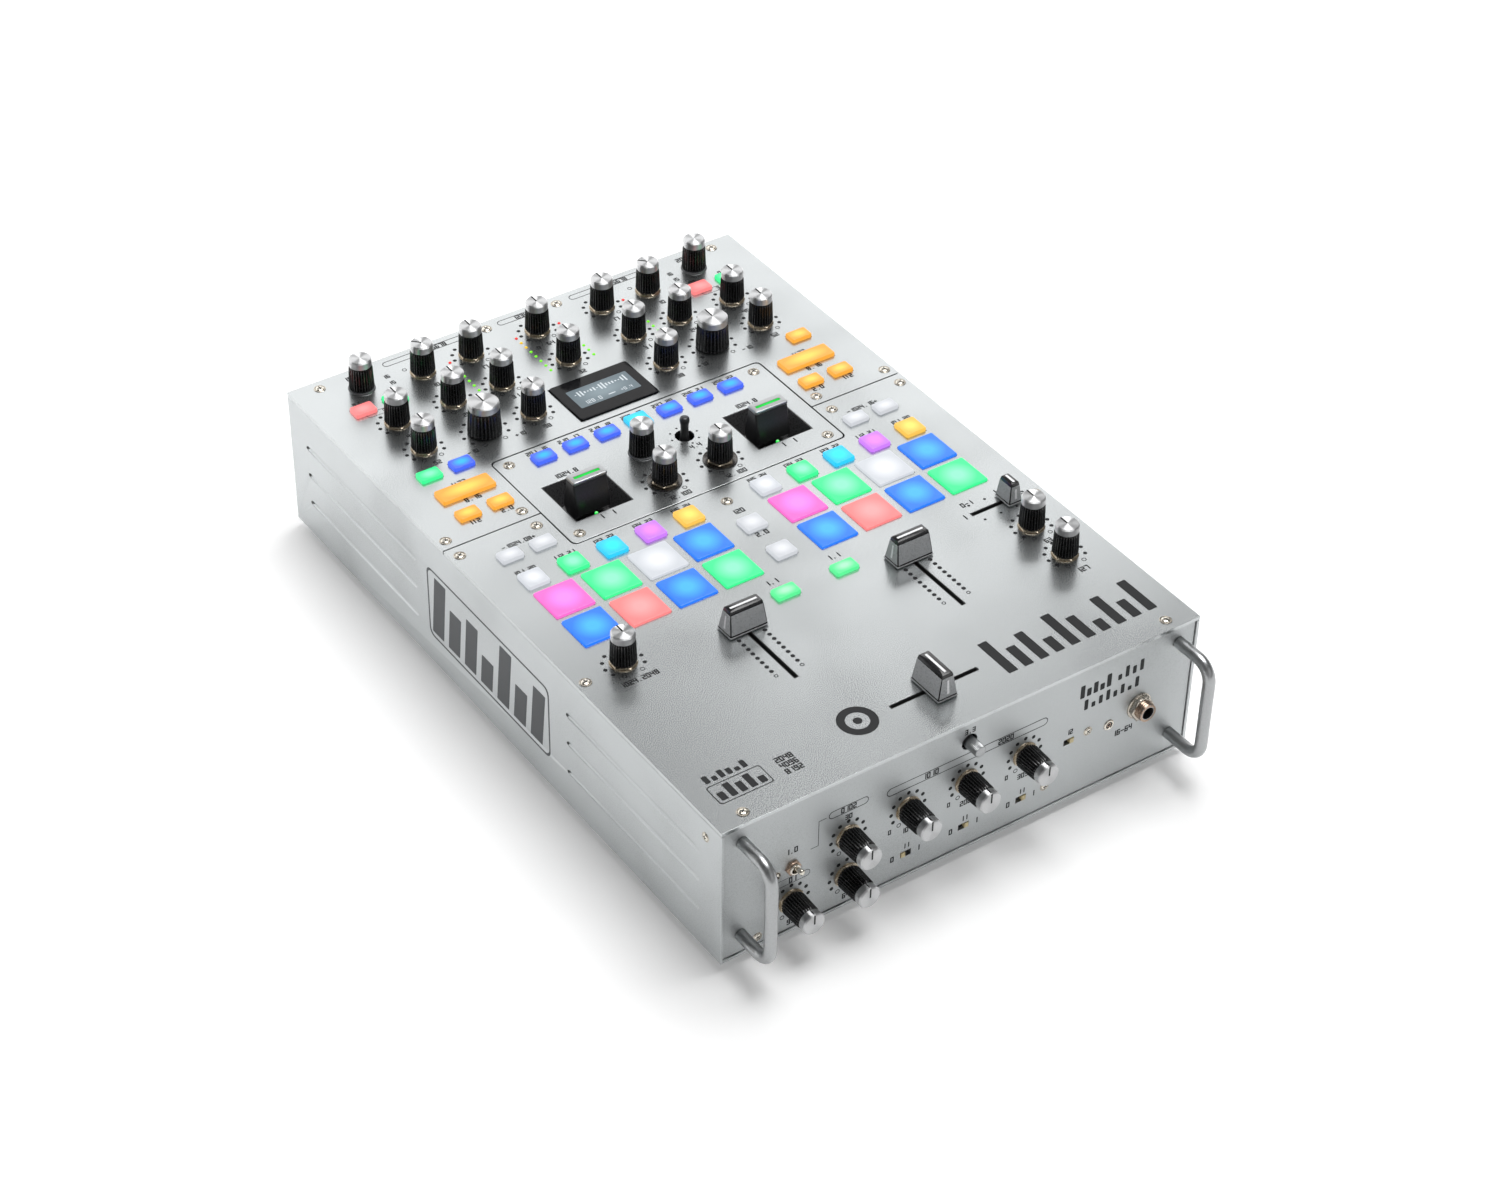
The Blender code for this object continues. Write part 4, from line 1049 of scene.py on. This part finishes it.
for side in (0, 1):
    flip = (lambda x: WIDE - x) if side else (lambda x: x)
    rear_print.append(number("2048" if side else "1024", flip(33), 378.0, 2.2))
    for x, y, text in (
        (47.5, 369.5, "16"), (47.5, 363.5, "15"), (23.5, 356.6, "01"), (41.5, 356.6, "02"),
        (33.0, 345.2, "3"), (32.6, 273.6, "1/32"), (32.6, 259.7, "8.16"), (23.9, 243.4, "1/2"), (41.7, 243.4, "2.0"),
    ):  # fmt: skip
        rear_print.append(number(text, flip(x), y, 2.1 if len(text) > 2 else 1.9))
    rear_print.append(pill(flip(33), 345.2, 20.0, 4.0, 0.25))
    front_print += [number("-1024.16+" if side else "-1024.08+", flip(32.8), 218.4, 1.9)]
    front_print += [pill(flip(23.9), 211.3, 14.0, 10.0, 0.001, 2.0)]

# %% Print on the front and effect plates
for side in (0, 1):
    base = 0 if side == 0 else 122.0
    for k, x in enumerate((24.0, 45.5, 67.0, 88.5, 110.0)):
        centre = (x if side == 0 else WIDE - x)
        front_print.append(number(f"{101 + k * 11}.{20 + k}", centre, 198.6, 1.9))
    x = CHANNEL_X[side]
    ys = 72.3 + 3.66 * np.arange(11)
    for offset in (-7.1, 7.1):
        places = np.stack([np.full(10, x + offset), ys[1:], np.zeros(10)], 1)
        front_print.append(stamped(dot(1.15), places))
        front_print.append(stamped(ring_mark(1.1, 0.65, 14), [(x + offset, ys[0], 0)]))
for x in (226.1, 235.6, 245.1):
    front_print.append(stamped(dot(0.75), [(x, 118.3 - 6.4, 0), (x, 118.3 + 6.4, 0)]))
front_print += [
    number("1", 218.5, 118.3, 2.4), number("2", 253.8, 118.3, 2.4), number("0-1", 226.0, 126.4, 2.1),
    number("1-2", 245.0, 126.4, 2.1), number("127", 241.1, 56.8, 2.2), number("63", 241.1, 82.8, 2.0),
    number("1024.2048", 26.3, 104.2, 2.1), number("120", 132.0, 181.6, 2.2), number("2.0", 132.0, 161.5, 2.2),
    number("1.1", 114.5, 128.4, 2.2), number("1.1", 149.5, 128.4, 2.2),
]  # fmt: skip
for k in range(7):
    x = 132 + (k - 3) * 18.15
    fx_print.append(number(f"{201 + 9 * k}.{16 + k}", x, 274.9, 1.9))
for x in (79.7, 184.3):
    fx_print += [number("1024.8", x, 252.0, 2.1), number("1", x + 2.6, 213.6, 2.3)]
    fx_print.append(number("1", x - 4.0, 213.6, 2.3))
for x, y, text in ((119.6, 233.8, "1/4"), (144.4, 236.4, "4.4"), (116, 207.3, "12.100"), (148, 207.3, "12.100")):
    fx_print.append(number(text, x, y, 2.0))
angles = np.radians(np.arange(8) * 45)
places = np.stack([stick_x + 7.2 * np.sin(angles), stick_y + 7.2 * np.cos(angles), 0 * angles], 1)
fx_print.append(stamped(dot(0.6), places))

# %% [markdown]
# ### Big marks
# The maker prints a large mark on the front plate and on both sides. Here they are replaced by
# plain bars like a row of level bars: the same weight of ink, but nobody's sign.


# %% Level-bar marks
def level_bars(x0, x1, y0, y1, shares, width, slant=0.0, material=0):
    """Bars of unlike height on one base line; a slant shears them along x by their height."""
    steps = np.linspace(x0 + width / 2, x1 - width / 2, len(shares))
    parts = []
    for x, share in zip(steps, shares):
        height = (y1 - y0) * share
        box = slab(width, height, 0.35, INK_LOW, INK_HIGH, material, steps=2)
        points = box[0] + np.array([x, y0 + height / 2, 0])
        points[:, 0] += slant * (points[:, 1] - y0)
        parts.append((points, *box[1:]))
    return joined(parts)


front_print.append(level_bars(166, 252, 16, 40, (1, 0.62, 0.86, 0.45, 1, 0.7, 0.35, 0.9, 0.55, 1), 5.2))
front_print.append(moved(ring_mark(9.6, 5.6, 40), shift=(90.5, 27.5, 0)))
front_print.append(moved(dot(2.2, 24), shift=(90.5, 27.5, 0)))
front_print.append(level_bars(12, 34, 29.5, 34.5, (1, 0.6, 1, 0.8, 0.5, 1), 2.6))
front_print.append(level_bars(12, 36, 17, 26, (0.6, 1, 0.75, 1, 0.5), 3.4))
front_print.append(pill(24.0, 21.5, 28.0, 12.6, 0.5, 1.5))
for k, text in enumerate(("2048", "4096", "8192")):
    front_print.append(number(text, 49.5, 25.6 - 4.2 * k, 2.2))
for name, parts in (("rear_print", rear_print), ("front_print", front_print), ("fx_print", fx_print)):
    parts = [moved(joined(parts), shift=(0, 0, TOP))]
    made = piece(name, parts, [ink_black])
    print(name, len(made.data.polygons), "faces")
side_mark = level_bars(139, 239, 20, 55, (1, 0.7, 0.85, 0.5, 1, 0.6, 0.9), 10.5, 0.12)
side_frame = frame_ring(rounded(110, 42, 4), 1.1, INK_LOW, INK_HIGH)
side_art = joined([side_mark, moved(side_frame, shift=(191, 37.5, 0))])
ON_LEFT = np.array([[0, 0, -1.0], [-1, 0, 0], [0, 1, 0]])
ON_RIGHT = np.array([[0, 0, 1.0], [1, 0, 0], [0, 1, 0]])
parts = [moved(side_art, ON_LEFT, (0, 2 * 192.75 - 0, 0)), moved(side_art, ON_RIGHT, (WIDE, 0, 0))]
piece("side_print", parts, [ink_grey])
# Dark discs at the rear ends of the side grooves are painted shade of small pressed holes.
painted_hole_shade_dots = [(y, z) for y in (124.0, 367.0) for z in (20.5, 37.8, 54.6)]
marks = [moved(dot(0.85, 12), turn, (x, y, z)) for y, z in painted_hole_shade_dots for turn, x in ((ON_LEFT, 0), (ON_RIGHT, WIDE))]
piece("painted_hole_shade_dots", marks, [black_parts_and_painted_hole_shade])

# %% [markdown]
# ## Front panel
# The front carries the microphone controls, three contour knobs, four slide switches, and two
# headphone sockets. Its print is made flat like the others and then stood up against the panel.

# %% Front print
panel_print = []
for node in PANEL_KNOBS:
    x, z = knob_place[node]
    panel_print.append(scale_dots(x, z, 9.2))
panel_print += [
    pill(67.4, 58.1, 21.4, 4.3), number("0102", 67.4, 58.1, 2.0), pill(132.9, 55.6, 89.9, 4.6),
    number("1010", 112.0, 55.6, 2.1), number("2020", 154.0, 55.6, 2.1), pill(38.3, 30.8, 18.6, 4.0, 0.25),
    number("01", 38.3, 30.8, 2.0), number("30", 67.6, 53.0, 1.9), number("1.0", 37.4, 48.0, 2.1),
    number("64", 67.6, 5.6, 2.0), number("99", 37.7, 5.6, 2.0), number("3.3", 132.9, 70.8, 1.9),
    bar(49.5, 43.8, 4.0, 0.3, INK_LOW, INK_HIGH), bar(51.5, 50.9, 0.3, 14.4, INK_LOW, INK_HIGH),
    bar(53.5, 58.0, 4.0, 0.3, INK_LOW, INK_HIGH), number("16-64", 224.0, 27.2, 2.2),
    number("12", 191.6, 41.6, 1.9),
]  # fmt: skip
for k, x in enumerate((100.2, 132.9, 165.6)):
    panel_print.append(number(("101", "202", "303")[k], x, 28.4, 2.0))
    panel_print += [number("0", x - 7.4, 13.8, 2.1), number("1", x + 7.0, 13.8, 2.1)]
    panel_print.append(number("11", x, 18.6, 1.9))
    panel_print += [number("0", x - 9.6, 31.4, 1.8), number("9", x + 9.6, 31.4, 1.8)]
panel_print.append(level_bars(196, 214, 59, 66.5, (1, 0.6, 0.85, 0.5, 1), 2.6))
panel_print.append(level_bars(218, 233, 60, 66.5, (0.5, 1, 0.7, 1), 2.2))
panel_print.append(level_bars(199, 231, 51, 57.0, (1, 0.5, 0.8, 1, 0.6, 0.9, 0.4, 1), 2.2))
parts = [moved(joined(panel_print), UPRIGHT, (0, FACE, 0))]
piece("panel_print", parts, [ink_black])

# %% [markdown]
# ### Sockets, bush and slide switches
# The big headphone socket is a threaded barrel in a hex nut on a dark washer, the small one a plain
# ring. The slide switches show a cream nub in a dark slot.

# %% Front hardware
JACK_X, JACK_Z, BORE = 232.4, 38.4, 3.3
turns = np.arange(8)
thread = [(BORE, 1.4), (4.85, 1.4)]
thread += [(4.72 + 0.2 * (k % 2), 2.0 + 0.55 * k) for k in range(9)]
thread += [(4.6, 7.05), (BORE + 0.25, 7.1), (BORE, 6.8), (BORE, 1.4)]
jack = [
    turned([(4.9, 0), (6.9, 0), (6.9, 0.7), (6.5, 1.0), (4.9, 1.0), (4.9, 0)], 36, 3),
    nut(11.6, 4.9, 0.95, 3.6, 3),
    turned(thread, 36, 1),
]
lining = [(BORE - 0.2, 6.9), (BORE - 0.03, 6.9), (BORE - 0.03, -14), (0, -14), (0, -13.8)]
jack.append(turned([*lining, (BORE - 0.2, -13.8), (BORE - 0.2, 6.9)], 28, 2))
parts = [moved(part, UPRIGHT, (JACK_X, FACE, JACK_Z)) for part in jack]
small_jack = turned([(1.75, -0.1), (2.85, -0.1), (2.85, 0.3), (2.6, 0.55), (1.9, 0.55), (1.75, 0.3), (1.75, -0.1)], 28, 0)
# The dark disc over the small socket's hole is painted shade of the hole.
hole = turned([(0, -0.1), (1.76, -0.1), (1.76, 0.22), (0, 0.22)], 20, 2)
tip_ring = turned([(0.75, 0.1), (1.2, 0.1), (1.2, 0.3), (0.75, 0.3), (0.75, 0.1)], 20, 1)
parts += [moved(joined([small_jack, hole, tip_ring]), UPRIGHT, (215.1, FACE, 34.8))]
bush = turned([(1.9, 0), (2.9, 0), (2.9, 2.2), (2.6, 2.5), (2.0, 2.5), (1.9, 0)], 28, 0)
parts += [moved(joined([bush, nut(7.0, 2.85, 0.0, 1.5, 1)]), UPRIGHT, (LEVER_X, FACE, LEVER_Z))]
piece("panel_sockets", parts, [screw_metal, copper, black_parts_and_painted_hole_shade, cup_metal])
SLIDES = ((100.3, 13.8), (132.8, 14.0), (165.6, 14.1), (191.6, 36.1))
parts = []
for k, (x, z) in enumerate(SLIDES):
    back = slab(5.9, 3.3, 0.1, -2.5, -1.6, 0, steps=2)
    nub = slab(2.2, 2.7, 0.15, -2.0, 0.35, 1, steps=2)
    parts.append(moved(joined([back, moved(nub, shift=(1.5 if k else -1.5, 0, 0))]), UPRIGHT, (x, FACE, z)))
piece("slide_switches", parts, [black_parts_and_painted_hole_shade, cream])
print("front panel hardware placed")

# %% [markdown]
# ## Handles and feet
# Each handle is one steel bar bent twice: two straight legs, two quarter turns and a grip, so a ring
# carried along that path gives the whole bar. The feet are turned rubber.

# %% Handles
BAR_RADIUS, BEND = 3.0, 9.0
for side in ("left", "right"):
    node = "handle_" + side
    low, high = extent(node)
    x = (low[0] + high[0]) / 2
    reach = low[1] + BAR_RADIUS
    bottom, top = low[2] + BAR_RADIUS, high[2] - BAR_RADIUS
    quarter = np.radians(np.linspace(0, 90, 13))
    leg = np.linspace(high[1], reach + BEND, 6)[:-1]
    path = [(x, y, bottom) for y in leg]
    path += [(x, reach + BEND - BEND * math.sin(a), bottom + BEND - BEND * math.cos(a)) for a in quarter]
    path += [(x, reach, z) for z in np.linspace(bottom + BEND, top - BEND, 8)[1:-1]]
    path += [(x, reach + BEND - BEND * math.cos(a), top - BEND + BEND * math.sin(a)) for a in quarter]
    path += [(x, y, top) for y in leg[::-1]]
    piece(node + "_bar", [bent(path, BAR_RADIUS, 28)], [handle_metal], "body_shell", node, 50)

# %% Feet
foot = [(0, -0.3), (9.0, -0.3), (9.0, -1.2), (8.7, -3.9), (8.2, -4.7), (7.4, -5.0), (4.6, -5.0)]
foot += [(4.2, -4.4), (2.4, -4.2), (0, -4.2)]
for node in [n for n in NODES if n.startswith("foot")]:
    low, high = extent(node)
    x, y = (low[:2] + high[:2]) / 2
    base = high[2] + 0.3
    profile = [(r, z + base) for r, z in foot]
    parts = [moved(turned(profile, 40), shift=(x, y, 0))]
    piece(node + "_rubber", parts, [rubber], "body_shell", node, 40)

# %% [markdown]
# ## Rear wall
# The back of such a mixer holds the mains inlet and switch, two computer ports, balanced outputs,
# and the inputs of two decks with their earth posts.

# %% Rear sockets
REAR = np.array([[-1.0, 0, 0], [0, 0, 1], [0, 1, 0]])  # x to the left seen from behind, y up, z out


def on_rear(part, x, z):
    return moved(part, REAR, (x, LONG, z))


def phono(colour):
    ring = turned([(2.2, 0), (4.6, 0), (4.6, 1.4), (4.2, 1.6), (3.6, 1.6), (3.6, 0.4), (2.2, 0)], 28, colour)
    shell = turned([(0, 0), (3.3, 0), (3.3, 7.4), (3.0, 7.8), (1.9, 7.8), (1.9, 1.0), (0, 1.0)], 28, 0)
    return joined([ring, shell])


def balanced():
    plate = slab(24.0, 26.0, 3.0, 0, 1.2, 3, soft=0.3)
    rim = turned([(8.8, 1.0), (10.6, 1.0), (10.6, 2.4), (10.2, 2.8), (9.2, 2.8), (8.8, 2.4), (8.8, 1.0)], 36, 0)
    face = turned([(0, 1.0), (8.9, 1.0), (8.9, 1.7), (0, 1.7)], 36, 3)
    pin = turned([(0, 1.5), (0.9, 1.5), (0.9, 2.5), (0, 2.6)], 12, 0)
    pins = stamped(pin, [(-3.6, 2.0, 0), (3.6, 2.0, 0), (0, -3.8, 0)])
    return joined([plate, rim, face, pins])


low, high = extent("chassis")
parts = []
inlet = frame_ring(rounded(27.6, 20.4, 2.2), 1.7, 0.0, 1.2, 3)
pin = slab(2.0, 5.2, 0.3, -13.5, -4.0, 0, steps=2)
pins = [moved(pin, shift=(px, py, 0)) for px, py in ((-6.5, -0.8), (0, 1.8), (6.5, -0.8))]
parts.append(on_rear(joined([inlet, *pins]), 36.0, 30.0))
switch = [slab(20.0, 13.5, 1.0, 0, 1.6, 3, soft=0.4), slab(15.5, 10.0, 0.6, 1.2, 3.0, 3, soft=0.6, crown=0.4)]
parts.append(on_rear(joined(switch), 36.0, 56.0))
for z in (22.0, 40.0):
    port = [frame_ring(rounded(13.4, 12.2, 0.8), 0.8, 0, 0.8, 0), slab(11.6, 10.4, 0.3, 0, 0.3, 3)]
    port.append(slab(6.4, 5.0, 0.3, 0.2, 0.7, 4))
    parts.append(on_rear(joined(port), 64.0, z))
for x in (88.0, 116.0):
    parts.append(on_rear(balanced(), x, 32.0))
for x in (142.0, 158.0):
    jack_face = turned([(0, 0), (6.4, 0), (6.4, 1.6), (5.9, 2.0), (3.2, 2.0), (3.2, 0.5), (0, 0.5)], 32, 3)
    parts.append(on_rear(joined([jack_face, nut(12.5, 3.4, 0.3, 2.6, 0)]), x, 32.0))
for x in (178.0, 194.0, 212.0, 228.0):
    parts.append(on_rear(phono(1), x, 42.0))
    parts.append(on_rear(phono(2), x, 24.0))
post = turned([(0, 0), (3.4, 0), (3.4, 3.2), (2.0, 3.4), (2.0, 4.4), (4.2, 4.6), (4.2, 9.0), (3.8, 9.4), (0, 9.4)], 32, 0)
parts += [on_rear(post, 244.0, 42.0), on_rear(post, 244.0, 24.0)]
piece("rear_sockets", parts, [screw_metal, white_ring, red_ring, satin_black, line_white])
rear_labels = [number(text, x, z, 2.4) for text, x, z in (("230", -36.0, 14.0), ("1", -64.0, 50.0), ("2", -64.0, 13.0), ("10", -88.0, 50.0), ("20", -116.0, 50.0), ("30", -150.0, 44.0), ("1", -186.0, 52.0), ("2", -220.0, 52.0))]
piece("rear_labels", [moved(joined(rear_labels), REAR, (0, LONG, 0))], [ink_black])
print("rear wall done")

# %% [markdown]
# ## Camera, floor and light
# A product picture: a white sweep, a big soft light from behind and above that runs off the metal
# toward the front, and a long lens that keeps the plates nearly parallel.

# %% Floor
EYE = Vector((-0.7127, -1.0257, 1.0372))
AIM = Vector((-0.0055, -0.0173, 0.04385))
ROLL = math.radians(0.987)

floor_white = plain("sweep_white", (0.93, 0.93, 0.93), 0.85, scale=20, spread=0.01, bump=0.0)
bsdf_of(floor_white).inputs["Emission Color"].default_value = (1, 1, 1, 1)
# The floor glows by its own emission, weak within 0.45 m of the mixer and strong past 1.1 m: painted light that keeps
# the far floor white, and painted shade round the mixer.
place = add_node(floor_white, "TexCoord").outputs["Object"]
distance = add_node(floor_white, "VectorMath", {0: place}, operation="LENGTH")
painted_floor_glow = add_node(
    floor_white,
    "MapRange",
    {"Value": distance.outputs["Value"], "From Min": 0.45, "From Max": 1.1, "To Min": 0.15, "To Max": 0.95},
).outputs[0]
floor_white.node_tree.links.new(painted_floor_glow, bsdf_of(floor_white).inputs["Emission Strength"])
floor_mesh = bpy.data.meshes.new("sweep")
floor_mesh.from_pydata([(-8, -8, 0), (8, -8, 0), (8, 8, 0), (-8, 8, 0)], [], [(0, 1, 2, 3)])
floor_mesh.materials.append(floor_white)
floor = bpy.data.objects.new("sweep", floor_mesh)
bpy.context.scene.collection.objects.link(floor)


# %% Camera
def aimed(location, target, roll=0.0):
    """Turning matrix whose -Z looks from the location to the target, and whose X is turned by roll."""
    back = (location - target).normalized()
    right = Vector((0, 0, 1)).cross(back).normalized()
    up = back.cross(right)
    tilted = right * math.cos(roll) + up * math.sin(roll)
    return Matrix((tilted, back.cross(tilted), back)).transposed().to_4x4()


lens = bpy.data.cameras.new("camera")
lens.lens, lens.sensor_width = 79.6, 36.0
lens.clip_start, lens.clip_end = 0.05, 30
camera = bpy.data.objects.new("camera", lens)
bpy.context.scene.collection.objects.link(camera)
camera.matrix_world = Matrix.Translation(EYE) @ aimed(EYE, AIM, ROLL)
bpy.context.scene.camera = camera


# %% Light
def softbox(name, location, target, width, height, power, shade=(1, 1, 1)):
    """Rectangular area light that faces the target and isn't itself seen."""
    data = bpy.data.lights.new(name, "AREA")
    data.shape, data.size, data.size_y = "RECTANGLE", width, height
    data.energy, data.color = power, shade
    obj = bpy.data.objects.new(name, data)
    bpy.context.scene.collection.objects.link(obj)
    location, target = Vector(location), Vector(target)
    obj.matrix_world = Matrix.Translation(location) @ aimed(location, target)
    obj.visible_camera = False
    return obj


world = bpy.data.worlds.new("studio")
world.use_nodes = True
direction = add_node(world, "TexCoord")
split = add_node(world, "SeparateXYZ", {0: direction.outputs["Generated"]})
sky = add_node(world, "ValToRGB", {"Fac": split.outputs["Z"]})
for stop, (height, grey) in zip(sky.color_ramp.elements, ((0.02, 0.35), (0.6, 0.09))):
    stop.position, stop.color = height, (grey, grey, grey, 1)
world.node_tree.links.new(sky.outputs[0], world.node_tree.nodes["Background"].inputs["Color"])
bpy.context.scene.world = world
softbox("rear_panel", (0.1, 0.64, 0.38), (0.1, 0.0, 0.38), 2.2, 0.72, 6.8)
softbox("upper_panel", (1.0, 0.64, 0.84), (1.0, 0.0, 0.84), 1.1, 0.2, 1.0)
softbox("overhead", (0.45, 0.05, 2.2), (0, 0, 0), 1.4, 1.4, 46.0)
softbox("front_fill", (0.3, -1.9, 1.1), (0, 0, 0.1), 1.6, 1.0, 2.5)
bpy.context.scene.view_settings.view_transform = "Standard"
